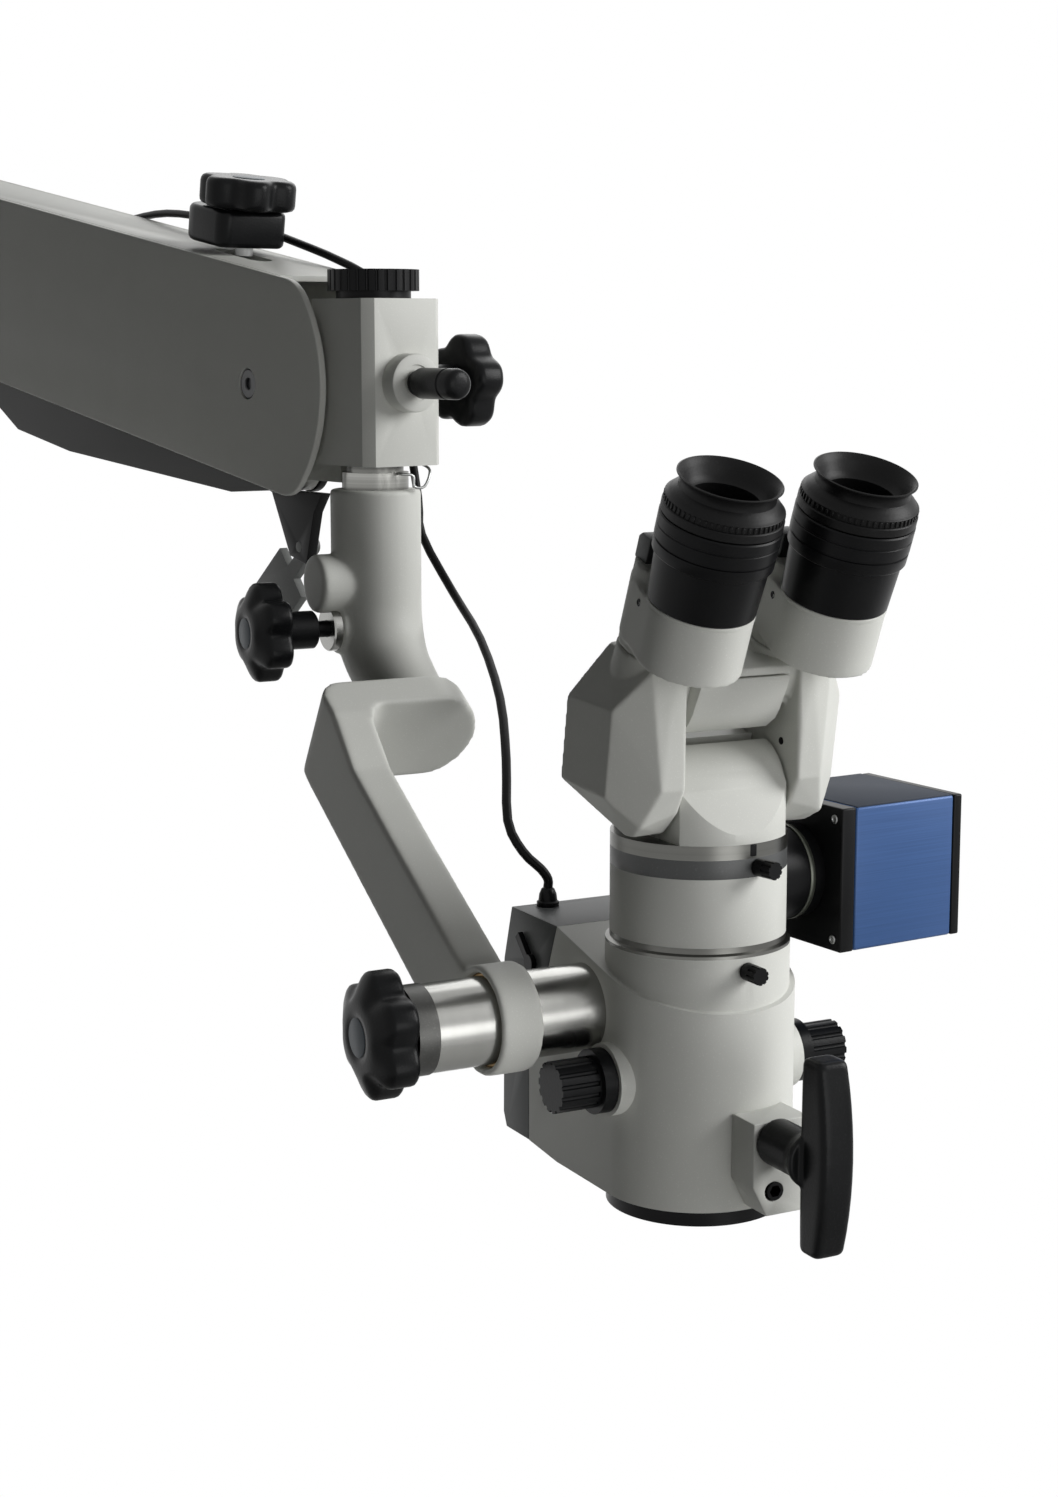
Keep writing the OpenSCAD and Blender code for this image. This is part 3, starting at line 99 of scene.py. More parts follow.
cameraFrame = turn(places["cameraYaw"], "Z") @ shift(0, 0, places["portZ"])
elbowFrame = shift(places["elbowX"], places["elbowY"], 0)
alongX = turn(90, "Y")
alongMinusX = turn(-90, "Y")
alongMinusY = turn(90, "X")
alongAcross = Matrix(((0, 0, 1, 0), (1, 0, 0, 0), (0, 1, 0, 0), (0, 0, 0, 1)))  # outline in YZ, height along X


def tubeFrame(side):
    return leanFrame @ shift(side * places["eyeGap"] / 2, places["tubeV"], places["seatW"])


# Camera first: the photograph's place, direction and lens.
viewpoint = {"place": (-580.6, -945.4, 395.5), "azimuth": -27.6, "down": 9.53, "lens": 60.12, "film": 36}
cameraData = bpy.data.cameras.new("photoCamera")
cameraData.lens = viewpoint["lens"]
cameraData.sensor_width = viewpoint["film"]
cameraData.clip_end = 20
camera = addObject("photoCamera", cameraData)
camera.matrix_world = (Matrix.Translation(metres(*viewpoint["place"])) @ turn(viewpoint["azimuth"], "Z")
                       @ turn(90 - viewpoint["down"], "X"))
bpy.context.scene.camera = camera
print("stage: camera set")


# Shader helpers
def addNode(tree, kind, inputs=None, **settings):
    node = tree.nodes.new(kind)
    for key, value in settings.items():
        setattr(node, key, value)
    for key, value in (inputs or {}).items():
        if isinstance(value, bpy.types.NodeSocket):
            tree.links.new(value, node.inputs[key])
        else:
            node.inputs[key].default_value = value
    return node


def startGroup(name, inputs, outputs):
    group = bpy.data.node_groups.new(name, "ShaderNodeTree")
    for label, kind, value in inputs:
        socket = group.interface.new_socket(name=label, in_out="INPUT", socket_type=kind)
        if value is not None:
            socket.default_value = value
    for label, kind in outputs:
        group.interface.new_socket(name=label, in_out="OUTPUT", socket_type=kind)
    return group, group.nodes.new("NodeGroupInput"), group.nodes.new("NodeGroupOutput")


# Fine moulded or sprayed grain with a slow tone drift
def makeGrainGroup():
    group, given, result = startGroup(
        "surfaceGrain",
        [("Vector", "NodeSocketVector", None), ("Fine", "NodeSocketFloat", 900.0), ("Drift", "NodeSocketFloat", 9.0)],
        [("Height", "NodeSocketFloat"), ("Tone", "NodeSocketFloat")])
    fine = addNode(group, "ShaderNodeTexNoise", {"Vector": given.outputs["Vector"], "Scale": given.outputs["Fine"],
                                                 "Detail": 2.0, "Roughness": 0.55})
    slow = addNode(group, "ShaderNodeTexNoise", {"Vector": given.outputs["Vector"], "Scale": given.outputs["Drift"],
                                                 "Detail": 3.0, "Roughness": 0.6})
    spots = addNode(group, "ShaderNodeMapRange", {"Value": fine.outputs["Fac"], "From Min": 0.62, "From Max": 0.78})
    mixed = addNode(group, "ShaderNodeMath", {0: slow.outputs["Fac"], 1: spots.outputs["Result"]}, operation="ADD")
    group.links.new(fine.outputs["Fac"], result.inputs["Height"])
    group.links.new(mixed.outputs[0], result.inputs["Tone"])
    return group


# Lathe marks: fine lines that change only along the work's axis
def makeTurnedGroup():
    group, given, result = startGroup(
        "latheMarks",
        [("Along", "NodeSocketFloat", 0.0), ("Lines", "NodeSocketFloat", 4000.0), ("Bands", "NodeSocketFloat", 120.0)],
        [("Height", "NodeSocketFloat"), ("Tone", "NodeSocketFloat")])
    lines = addNode(group, "ShaderNodeTexNoise", {"W": given.outputs["Along"], "Scale": given.outputs["Lines"],
                                                  "Detail": 2.0}, noise_dimensions="1D")
    bands = addNode(group, "ShaderNodeTexNoise", {"W": given.outputs["Along"], "Scale": given.outputs["Bands"],
                                                  "Detail": 3.0}, noise_dimensions="1D")
    group.links.new(lines.outputs["Fac"], result.inputs["Height"])
    group.links.new(bands.outputs["Fac"], result.inputs["Tone"])
    return group


grainGroup = makeGrainGroup()
turnedGroup = makeTurnedGroup()


def startMaterial(name, values):
    material = bpy.data.materials.new(name)
    material.use_nodes = True
    tree = material.node_tree
    tree.nodes.clear()
    shader = addNode(tree, "ShaderNodeBsdfPrincipled", values)
    output = addNode(tree, "ShaderNodeOutputMaterial")
    tree.links.new(shader.outputs["BSDF"], output.inputs["Surface"])
    return material, tree, shader, addNode(tree, "ShaderNodeTexCoord").outputs["Object"]


def addColor(tree, shader, tone, dark, light, low, high):
    ramp = addNode(tree, "ShaderNodeValToRGB", {"Fac": tone})
    ramp.color_ramp.elements[0].position = low
    ramp.color_ramp.elements[0].color = (*dark, 1)
    ramp.color_ramp.elements[1].position = high
    ramp.color_ramp.elements[1].color = (*light, 1)
    tree.links.new(ramp.outputs["Color"], shader.inputs["Base Color"])


# Roughness that varies with one value, and bump from another
def addFinish(tree, shader, varied, rough, height, strength, depth):
    spread = addNode(tree, "ShaderNodeMapRange", {"Value": varied, "To Min": rough[0], "To Max": rough[1]})
    tree.links.new(spread.outputs["Result"], shader.inputs["Roughness"])
    bump = addNode(tree, "ShaderNodeBump", {"Height": height, "Strength": strength, "Distance": depth})
    tree.links.new(bump.outputs["Normal"], shader.inputs["Normal"])


def grainyMaterial(name, look):
    look = dict(plainLook, **look)
    material, tree, shader, place = startMaterial(name, {"Metallic": look["metal"],
                                                         "Specular IOR Level": look["shine"]})
    grain = addNode(tree, "ShaderNodeGroup", {"Vector": place, "Fine": look["fine"],
                                              "Drift": look["drift"]}, node_tree=grainGroup)
    addColor(tree, shader, grain.outputs["Tone"], look["dark"], look["light"], 0.3, 0.9)
    addFinish(tree, shader, grain.outputs["Tone"], look["rough"], grain.outputs["Height"], look["bump"],
              look["depth"])
    return material


# Turned metal; the work's axis is given as a frame whose Z runs along it
def turnedMaterial(name, look, workFrame):
    material, tree, shader, place = startMaterial(name, {"Metallic": look["metal"]})
    world = toMetres @ workFrame
    inverse = world.to_3x3().normalized().inverted()
    along = addNode(tree, "ShaderNodeVectorMath", {0: place, 1: tuple(world.translation)},
                    operation="SUBTRACT")
    dot = addNode(tree, "ShaderNodeVectorMath", {0: along.outputs["Vector"], 1: tuple(inverse[2])},
                  operation="DOT_PRODUCT")
    marks = addNode(tree, "ShaderNodeGroup", {"Along": dot.outputs["Value"], "Lines": look["lines"],
                                              "Bands": look["bands"]}, node_tree=turnedGroup)
    addColor(tree, shader, marks.outputs["Tone"], look["dark"], look["light"], 0.3, 0.7)
    addFinish(tree, shader, marks.outputs["Height"], look["rough"], marks.outputs["Height"], look["bump"],
              look["depth"])
    return material


plainLook = {"bump": 0.1, "depth": 0.0001, "metal": 0.0, "shine": 0.5}
paintLooks = {
    "whitePaint": {"fine": 1400.0, "drift": 7.0, "dark": (0.58, 0.585, 0.55), "light": (0.67, 0.675, 0.64),
                   "rough": (0.42, 0.54), "depth": 0.0002, "shine": 0.16},
    "greyPaint": {"fine": 1300.0, "drift": 8.0, "dark": (0.062, 0.066, 0.066), "light": (0.088, 0.092, 0.092),
                  "rough": (0.40, 0.52), "bump": 0.15, "depth": 0.0002, "shine": 0.2},
    "ringGrey": {"fine": 1100.0, "drift": 10.0, "dark": (0.05, 0.052, 0.052), "light": (0.075, 0.078, 0.078),
                 "rough": (0.34, 0.44), "shine": 0.4},
    "bandGrey": {"fine": 1100.0, "drift": 10.0, "dark": (0.022, 0.024, 0.026), "light": (0.034, 0.036, 0.038),
                 "rough": (0.34, 0.44), "shine": 0.4},
    "leverGrey": {"fine": 1200.0, "drift": 9.0, "dark": (0.11, 0.115, 0.11), "light": (0.16, 0.165, 0.16),
                  "rough": (0.38, 0.5), "bump": 0.12, "shine": 0.3},
    "blackPlastic": {"fine": 1000.0, "drift": 12.0, "dark": (0.003, 0.0032, 0.0036), "light": (0.008, 0.0085, 0.009),
                     "rough": (0.26, 0.38), "bump": 0.2, "depth": 0.0003, "shine": 0.1},
    "linkBlack": {"fine": 1100.0, "drift": 12.0, "dark": (0.012, 0.0122, 0.0115), "light": (0.02, 0.0205, 0.019),
                  "rough": (0.38, 0.48), "bump": 0.15, "depth": 0.0002, "shine": 0.12},
    "blackMetal": {"fine": 2200.0, "drift": 14.0, "dark": (0.003, 0.0031, 0.0034), "light": (0.008, 0.0082, 0.009),
                   "rough": (0.28, 0.40), "bump": 0.12, "shine": 0.1},
    "softRubber": {"fine": 800.0, "drift": 16.0, "dark": (0.004, 0.004, 0.004), "light": (0.009, 0.009, 0.0095),
                   "rough": (0.34, 0.5), "bump": 0.15, "depth": 0.0003, "shine": 0.12},
    "cableSheath": {"fine": 700.0, "drift": 20.0, "dark": (0.003, 0.003, 0.003), "light": (0.007, 0.007, 0.0075),
                    "rough": (0.34, 0.5), "bump": 0.15, "depth": 0.0002, "shine": 0.1},
    "capInsert": {"fine": 1500.0, "drift": 12.0, "dark": (0.017, 0.028, 0.038), "light": (0.028, 0.043, 0.055),
                  "rough": (0.36, 0.46), "shine": 0.2},
    # dark slate blue for the camera case's top: painted shade for the little light the top takes, kept almost free of
    # reflection
    "paintedShadeTop": {"fine": 1500.0, "drift": 10.0, "dark": (0.038, 0.046, 0.064), "light": (0.052, 0.062, 0.082),
                 "rough": (0.4, 0.5), "bump": 0.12, "shine": 0.02},
    "bareMetal": {"fine": 1600.0, "drift": 18.0, "dark": (0.30, 0.305, 0.30), "light": (0.42, 0.425, 0.42),
                  "rough": (0.3, 0.45), "bump": 0.2, "metal": 1.0},
    "screwSteel": {"fine": 1800.0, "drift": 22.0, "dark": (0.05, 0.05, 0.048), "light": (0.11, 0.11, 0.105),
                   "rough": (0.3, 0.45), "bump": 0.15, "metal": 1.0},
    "bushBronze": {"fine": 1300.0, "drift": 20.0, "dark": (0.16, 0.10, 0.035), "light": (0.26, 0.17, 0.07),
                   "rough": (0.3, 0.42), "metal": 1.0},
    "portRing": {"fine": 1500.0, "drift": 16.0, "dark": (0.07, 0.075, 0.06), "light": (0.13, 0.137, 0.115),
                 "rough": (0.3, 0.42), "metal": 0.6},
}
paints = {name: grainyMaterial(name, look) for name, look in paintLooks.items()}


# Blue anodised case, brushed along the camera
def makeBlueMaterial():
    look = {"dark": (0.027, 0.076, 0.212), "light": (0.034, 0.092, 0.25), "rough": (0.34, 0.46),
            "stretch": (20.0, 20.0, 2600.0), "bump": 0.15, "depth": 0.00005}
    material, tree, shader, place = startMaterial("blueAnodised", {"Metallic": 0.2, "Specular IOR Level": 0.35})
    stretch = addNode(tree, "ShaderNodeMapping", {"Vector": place, "Scale": look["stretch"]})
    brushed = addNode(tree, "ShaderNodeTexNoise", {"Vector": stretch.outputs["Vector"], "Scale": 1.0, "Detail": 3.0})
    addColor(tree, shader, brushed.outputs["Fac"], look["dark"], look["light"], 0.3, 0.7)
    addFinish(tree, shader, brushed.outputs["Fac"], look["rough"], brushed.outputs["Fac"], look["bump"],
              look["depth"])
    return material


# Coated lens glass with a faint dust
def makeGlassMaterial():
    material, tree, shader, place = startMaterial("coatedGlass", {"Transmission Weight": 0.85, "IOR": 1.52})
    dust = addNode(tree, "ShaderNodeTexNoise", {"Vector": place, "Scale": 240.0, "Detail": 4.0})
    rough = addNode(tree, "ShaderNodeMapRange", {"Value": dust.outputs["Fac"], "To Min": 0.01, "To Max": 0.07})
    tree.links.new(rough.outputs["Result"], shader.inputs["Roughness"])
    rim = addNode(tree, "ShaderNodeLayerWeight", {"Blend": 0.4})
    addColor(tree, shader, rim.outputs["Facing"], (0.55, 0.75, 0.7), (0.5, 0.35, 0.7), 0.2, 0.9)
    return material


paints["blueAnodised"] = makeBlueMaterial()
paints["coatedGlass"] = makeGlassMaterial()
chromeLook = {"lines": 5000.0, "bands": 60.0, "dark": (0.30, 0.30, 0.285), "light": (0.34, 0.34, 0.325),
              "rough": (0.2, 0.25), "bump": 0.05, "depth": 0.00002, "metal": 1.0}
steelLook = {"lines": 4200.0, "bands": 140.0, "dark": (0.09, 0.09, 0.084), "light": (0.15, 0.15, 0.14),
             "rough": (0.26, 0.38), "bump": 0.2, "depth": 0.00002, "metal": 1.0}
paints["turnedShaft"] = turnedMaterial("turnedShaft", chromeLook, alongX)
paints["turnedUpright"] = turnedMaterial("turnedUpright", dict(steelLook, light=(0.36, 0.36, 0.34)), Matrix())
paints["turnedRing"] = turnedMaterial("turnedRing", steelLook, Matrix())
print("stage: materials made")


# Mesh helpers
def linkPiece(name, mesh, body, replaced, paint):
    piece = addObject(name, mesh)
    mesh.materials.clear()
    mesh.materials.append(paints[paint])
    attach(piece, body)
    if replaced:
        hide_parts(*replaced)
    return piece


def meshFrom(work, name, smoothAngle=38):
    work.normal_update()
    limit = math.radians(smoothAngle)
    for face in work.faces:
        face.smooth = True
    for edge in work.edges:
        edge.smooth = len(edge.link_faces) == 2 and edge.calc_face_angle(0) < limit
    mesh = bpy.data.meshes.new(name)
    work.to_mesh(mesh)
    work.free()
    return mesh


def bakeModifiers(mesh, addModifiers):
    carrier = addObject("carrier", mesh)
    addModifiers(carrier)
    bpy.context.view_layer.update()
    seen = carrier.evaluated_get(bpy.context.evaluated_depsgraph_get())
    made = bpy.data.meshes.new_from_object(seen)
    carrier.modifiers.clear()
    bpy.data.objects.remove(carrier)
    return made


def bakedMesh(name, mesh, addModifiers, smoothAngle=38):
    work = bmesh.new()
    work.from_mesh(bakeModifiers(mesh, addModifiers))
    return meshFrom(work, name, smoothAngle)


def bevelled(name, mesh, width, segments=3, angle=32, miter="MITER_ARC"):
    def addBevel(carrier):
        bevel = carrier.modifiers.new("edge", "BEVEL")
        bevel.width = width / 1000
        bevel.segments = segments
        bevel.limit_method = "ANGLE"
        bevel.angle_limit = math.radians(angle)
        bevel.miter_outer = miter

    return bakedMesh(name, mesh, addBevel)


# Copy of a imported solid; flat faces are merged when an angle is given
def nodeMesh(node, mergeAngle=0.0):
    work = bmesh.new()
    work.from_mesh(nodeObjects[node].data)
    bmesh.ops.remove_doubles(work, verts=work.verts, dist=1e-6)
    if mergeAngle:
        bmesh.ops.dissolve_limit(work, angle_limit=math.radians(mergeAngle), verts=work.verts, edges=work.edges)
    return meshFrom(work, node + "Solid")


# Skin through rings of points; a ring of one point closes an end, others get a cap when asked
def loftMesh(name, rings, workFrame, capped=False):
    work = bmesh.new()
    made = [[work.verts.new(point) for point in ring] for ring in rings]
    for low, high in zip(made, made[1:]):
        count = max(len(low), len(high))
        for k in range(count if count > 1 else 0):
            j = (k + 1) % count
            corners = ([low[k], low[j]] if len(low) > 1 else [low[0]]) + ([high[j], high[k]] if len(high) > 1
                                                                          else [high[0]])
            work.faces.new(corners)
    if capped:
        work.faces.new(made[0])
        work.faces.new(made[-1])
    bmesh.ops.remove_doubles(work, verts=work.verts, dist=1e-5)
    bmesh.ops.recalc_face_normals(work, faces=work.faces)
    work.transform(toMetres @ workFrame)
    return meshFrom(work, name)


def circleRing(radius, height, steps):
    if radius <= 0:
        return [(0, 0, height)]
    return [(radius * math.cos(2 * math.pi * k / steps), radius * math.sin(2 * math.pi * k / steps), height)
            for k in range(steps)]


# Ring round a point, in the plane of two directions
def ringAround(point, across, up, radius, steps):
    return [point + x * across + y * up for x, y, _ in circleRing(radius, 0, steps)]


# Turned piece from a profile of (radius, height) about the Z of a frame
def latheMesh(name, profile, workFrame, steps=96):
    return loftMesh(name, [circleRing(radius, height, steps) for radius, height in profile], workFrame)


def lathePiece(name, profile, workFrame, body, replaced, paint, steps=96):
    return linkPiece(name, latheMesh(name, profile, workFrame, steps), body, replaced, paint)


# Prism from an outline in the XY plane of a frame, with its edges rounded
def prismMesh(name, outline, low, high, workFrame, bevelWidth=0.0, segments=3, bevelAngle=32):
    work = bmesh.new()
    foot = [work.verts.new((x, y, low)) for x, y in outline]
    head = [work.verts.new((x, y, high)) for x, y in outline]
    for k in range(len(outline)):
        j = (k + 1) % len(outline)
        work.faces.new((foot[k], foot[j], head[j], head[k]))
    work.faces.new(foot)
    work.faces.new(head)
    bmesh.ops.recalc_face_normals(work, faces=work.faces)
    if bevelWidth:
        sharp = [edge for edge in work.edges if edge.calc_face_angle(0) > math.radians(bevelAngle)]
        bmesh.ops.bevel(work, geom=sharp, offset=bevelWidth, segments=segments, profile=0.5, affect="EDGES",
                        clamp_overlap=True)
    work.transform(toMetres @ workFrame)
    return meshFrom(work, name)


def hullMesh(name, points, workFrame):
    work = bmesh.new()
    made = bmesh.ops.convex_hull(work, input=[work.verts.new(point) for point in points])
    bmesh.ops.delete(work, geom=list({item for item in made["geom_interior"] + made["geom_unused"]
                                      if isinstance(item, bmesh.types.BMVert)}), context="VERTS")
    bmesh.ops.recalc_face_normals(work, faces=work.faces)
    work.transform(toMetres @ workFrame)
    return meshFrom(work, name)


def arcPoints(centreX, centreY, radius, fromAngle, toAngle, steps):
    return [(centreX + radius * math.cos(math.radians(fromAngle + (toAngle - fromAngle) * k / steps)),
             centreY + radius * math.sin(math.radians(fromAngle + (toAngle - fromAngle) * k / steps)))
            for k in range(steps + 1)]


def joinMeshes(name, meshes):
    work = bmesh.new()
    for mesh in meshes:
        work.from_mesh(mesh)
    return meshFrom(work, name)


def joinedPiece(name, meshes, body, replaced, paint):
    return linkPiece(name, joinMeshes(name, meshes), body, replaced, paint)


# One casting from several closed forms: joined, then its edges and corners blended softly
def softMesh(name, meshes, grid, passes):
    def addSoftening(carrier):
        remesh = carrier.modifiers.new("grid", "REMESH")
        remesh.mode = "VOXEL"
        remesh.voxel_size = grid / 1000
        smooth = carrier.modifiers.new("soft", "SMOOTH")
        smooth.factor = 0.5
        smooth.iterations = passes

    return bakedMesh(name, joinMeshes(name, meshes), addSoftening, 50)


def cutMesh(name, mesh, cutters):
    tools = [addObject("cutter", cutter) for cutter in cutters]

    def addCuts(carrier):
        for tool in tools:
            cut = carrier.modifiers.new("cut", "BOOLEAN")
            cut.operation = "DIFFERENCE"
            cut.object = tool

    made = bakedMesh(name, mesh, addCuts)
    for tool in tools:
        bpy.data.objects.remove(tool)
    return made


# Star knob: lobes that fade out towards the hub, on a turned foot
starLobes = {"depth": 0.19, "sharpness": 1.5, "steps": 144}
starShape = [(0.62, 0.0, 0.3), (0.88, 0.0, 0.9), (0.955, 0.03, 1), (0.99, 0.09, 1), (1.0, 0.16, 1), (1.0, 0.6, 1),
             (0.985, 0.67, 1), (0.94, 0.735, 0.97), (0.85, 0.81, 0.88), (0.74, 0.88, 0.7), (0.66, 0.93, 0.45),
             (0.6, 0.965, 0.25), (0.53, 0.99, 0.1), (0.44, 1.0, 0), (0.35, 1.0, 0), (0.33, 0.98, 0), (0.0, 0.98, 0)]
flatShape = [(0.62, 0.0, 0.3), (0.86, 0.0, 0.9), (0.95, 0.05, 1), (0.99, 0.13, 1), (1.0, 0.24, 1), (1.0, 0.76, 1),
             (0.985, 0.86, 1), (0.95, 0.94, 1), (0.89, 0.985, 0.95), (0.78, 1.0, 0.75), (0.62, 0.99, 0.4),
             (0.45, 0.98, 0.1), (0.4, 0.97, 0), (0.0, 0.97, 0)]


def starMesh(name, knob):
    rows = [(0, 0, 0)] + [(width / knob["radius"], height, 0) for width, height in knob["foot"]]
    base = knob["foot"][-1][1]
    rows += [(scale, base + rise * knob["thick"], lobe) for scale, rise, lobe in knob["shape"]]
    steps = starLobes["steps"]
    rings = []
    for scale, height, lobe in rows:
        ring = [(0, 0, height)]
        if scale > 0:
            ring = []
            for k in range(steps):
                angle = 2 * math.pi * k / steps
                wave = ((1 - math.cos(knob["lobes"] * angle)) / 2) ** starLobes["sharpness"]
                reach = knob["radius"] * scale * (1 - starLobes["depth"] * lobe * wave)
                angle += math.radians(knob["phase"])
                ring.append((reach * math.cos(angle), reach * math.sin(angle), height))
        rings.append(ring)
    return loftMesh(name, rings, knob["frame"])


# Ribs round a ring, such as a knurl or flutes, by Geometry Nodes
def makeRibTree():
    tree = bpy.data.node_groups.new("ribRing", "GeometryNodeTree")
    tree.interface.new_socket(name="Geometry", in_out="INPUT", socket_type="NodeSocketGeometry")
    for label, kind in (("Count", "NodeSocketInt"), ("Radius", "NodeSocketFloat"), ("Width", "NodeSocketFloat"),
                        ("Depth", "NodeSocketFloat"), ("Height", "NodeSocketFloat"), ("Paint", "NodeSocketMaterial")):
        tree.interface.new_socket(name=label, in_out="INPUT", socket_type=kind)
    tree.interface.new_socket(name="Geometry", in_out="OUTPUT", socket_type="NodeSocketGeometry")
    given = tree.nodes.new("NodeGroupInput")
    result = tree.nodes.new("NodeGroupOutput")
    circle = addNode(tree, "GeometryNodeMeshCircle", {"Vertices": given.outputs["Count"],
                                                      "Radius": given.outputs["Radius"]})
    size = addNode(tree, "ShaderNodeCombineXYZ", {"X": given.outputs["Depth"], "Y": given.outputs["Width"],
                                                  "Z": given.outputs["Height"]})
    rib = addNode(tree, "GeometryNodeMeshCube", {"Size": size.outputs["Vector"]})
    position = addNode(tree, "GeometryNodeInputPosition")
    facing = addNode(tree, "FunctionNodeAlignRotationToVector", {"Vector": position.outputs["Position"]}, axis="X")
    placed = addNode(tree, "GeometryNodeInstanceOnPoints", {"Points": circle.outputs["Mesh"],
                                                            "Instance": rib.outputs["Mesh"],
                                                            "Rotation": facing.outputs["Rotation"]})
    real = addNode(tree, "GeometryNodeRealizeInstances", {"Geometry": placed.outputs["Instances"]})
    painted = addNode(tree, "GeometryNodeSetMaterial", {"Geometry": real.outputs["Geometry"],
                                                        "Material": given.outputs["Paint"]})
    tree.links.new(painted.outputs["Geometry"], result.inputs["Geometry"])
    return tree


ribTree = makeRibTree()


def ribMesh(name, count, radius, width, depth, height, workFrame, paint):
    values = {"Count": count, "Radius": radius, "Width": width, "Depth": depth, "Height": height,
              "Paint": paints[paint]}
    empty = bpy.data.meshes.new(name)

    def addRibs(carrier):
        modifier = carrier.modifiers.new("ribs", "NODES")
        modifier.node_group = ribTree
        for socket in ribTree.interface.items_tree:
            if socket.in_out == "INPUT" and socket.name in values:
                modifier[socket.identifier] = values[socket.name]

    made = bakeModifiers(empty, addRibs)
    made.transform(toMetres @ workFrame)
    work = bmesh.new()
    work.from_mesh(made)
    bmesh.ops.recalc_face_normals(work, faces=work.faces)
    bmesh.ops.bevel(work, geom=work.edges[:], offset=min(width, depth) * 0.00022, segments=1, affect="EDGES")
    return meshFrom(work, name)


# Cords: the free cable and the stretch clipped to the arm, on the routes of their solids
cable = {"radius": 2.3, "sides": 16, "steps": 3}
armRoute = [(-88.2, 759.6, 479.3), (-84, 735.5, 475.5), (-75.5, 687, 467.5), (-67, 638, 459.5)]
dropRoute = [(-67, 638, 459.5), (-64, 618, 459), (-58, 587.5, 463.5), (-54.5, 537.5, 465), (-47.5, 487, 460.5),
             (-37, 429.5, 452), (-30, 391, 443.5), (-20, 352.5, 432.5), (-12.5, 331, 422), (-8.5, 315.5, 397),
             (-5, 302, 350), (-2, 291.5, 305), (-2, 287, 285), (5, 264, 256), (0, 220, 235), (-14, 170, 211),
             (-31, 130, 187), (-42, 107, 162), (-38.5, 98, 148), (-31, 93.5, 139.5), (-28, 92, 134.5),
             (-28, 92, 130.5)]


def smoothRoute(points, steps):
    points = [Vector(p) for p in points]
    made = []
    for i in range(len(points) - 1):
        a, b = points[max(i - 1, 0)], points[i]
        c, d = points[i + 1], points[min(i + 2, len(points) - 1)]
        for k in range(steps):
            t = k / steps
            made.append(0.5 * (2 * b + (c - a) * t + (2 * a - 5 * b + 4 * c - d) * t * t
                               + (3 * b - a - 3 * c + d) * t ** 3))
    return made + [points[-1]]


def sweptMesh(name, route, radius, sides):
    rings = []
    up = Vector((0.3, 0.9, 0.1))
    for i, point in enumerate(route):
        along = (route[min(i + 1, len(route) - 1)] - route[max(i - 1, 0)]).normalized()
        side = along.cross(up).normalized()
        up = side.cross(along).normalized()
        rings.append(ringAround(point, side, up, radius, sides))
    return loftMesh(name, rings, Matrix(), capped=True)


def makeCable(name, points, body, node):
    route = smoothRoute(points, cable["steps"])
    piece = linkPiece(name, sweptMesh(name, route, cable["radius"], cable["sides"]), body, [node],
                      "cableSheath")


makeCable("armCable", armRoute, "arm", "arm_cable")
makeCable("dropCable", dropRoute, "elbow_unit", "cable_drop")
print("stage: cables laid")

# Castings and covers, rounded from their solids: node, body, edge width, slot and paint
castings = {
    "headHousing": ("head_housing", "head", 1.8, "white_paint", "whitePaint"),
    "lampCover": ("rear_cover", "head", 1.2, "grey_paint", "greyPaint"),
    "handleBlock": ("handle_block", "head", 1.5, "white_paint", "whitePaint"),
    "splitterDrum": ("splitter_body", "head", 0.5, "white_paint", "whitePaint"),
    "clampRing": ("clamp_ring", "head", 0.5, "grey_paint", "ringGrey"),
    "blockCasting": ("front_block", "block", 0.6, "white_paint", "whitePaint"),
    "lockBracket": ("lock_bracket", "block", 0.6, "black_metal", "blackMetal"),
    "lockLever": ("lock_lever", "lever", 0.8, "grey_paint", "leverGrey"),
    "rearBlock": ("rear_block", "rear_mount", 1.2, "white_paint", "whitePaint"),
    "topCover": ("top_cover", "arm", 0.6, "white_paint", "whitePaint"),
    "lowerLink": ("lower_link", "link", 0.8, "black_metal", "linkBlack"),
}
castingMerge = 0.8
for name, (node, body, width, slot, paint) in castings.items():
    linkPiece(name, bevelled(name, nodeMesh(node, castingMerge), width), body, [node], paint)
crankLook = {"grid": 1.3, "passes": 13}
linkPiece("crankCasting", softMesh("crankCasting", [nodeMesh("crank_arm")], crankLook["grid"], crankLook["passes"]),
          "crank", ["crank_arm"], "whitePaint")
shaftFrame = shift(0, places["tiltY"], places["tiltZ"]) @ alongMinusX
bushLook = [(20.1, 79.4), (21.45, 79.4), (21.45, 95.2), (20.9, 95.6), (20.1, 95.6), (20.1, 79.4)]
lathePiece("bronzeBush", bushLook, shaftFrame, "crank", ["shaft_bush"], "bushBronze")
print("stage: castings rounded")

# Arm side covers: flat plates with blended noses and countersunk screws
armCovers = {"nose": 73, "up": 61.4, "down": 52.5, "upBlend": 26, "downBlend": 20, "inner": 26, "outer": 30,
             "edge": 0.8, "screwRadius": 8.5, "screwDeep": 2.5,
             "screw": [(0, -2.4), (3.1, -2.4), (3.1, -1.2), (3.5, -0.7), (7.4, -0.7), (8.1, -1.3), (8.1, -2.6),
                       (0, -2.6)]}


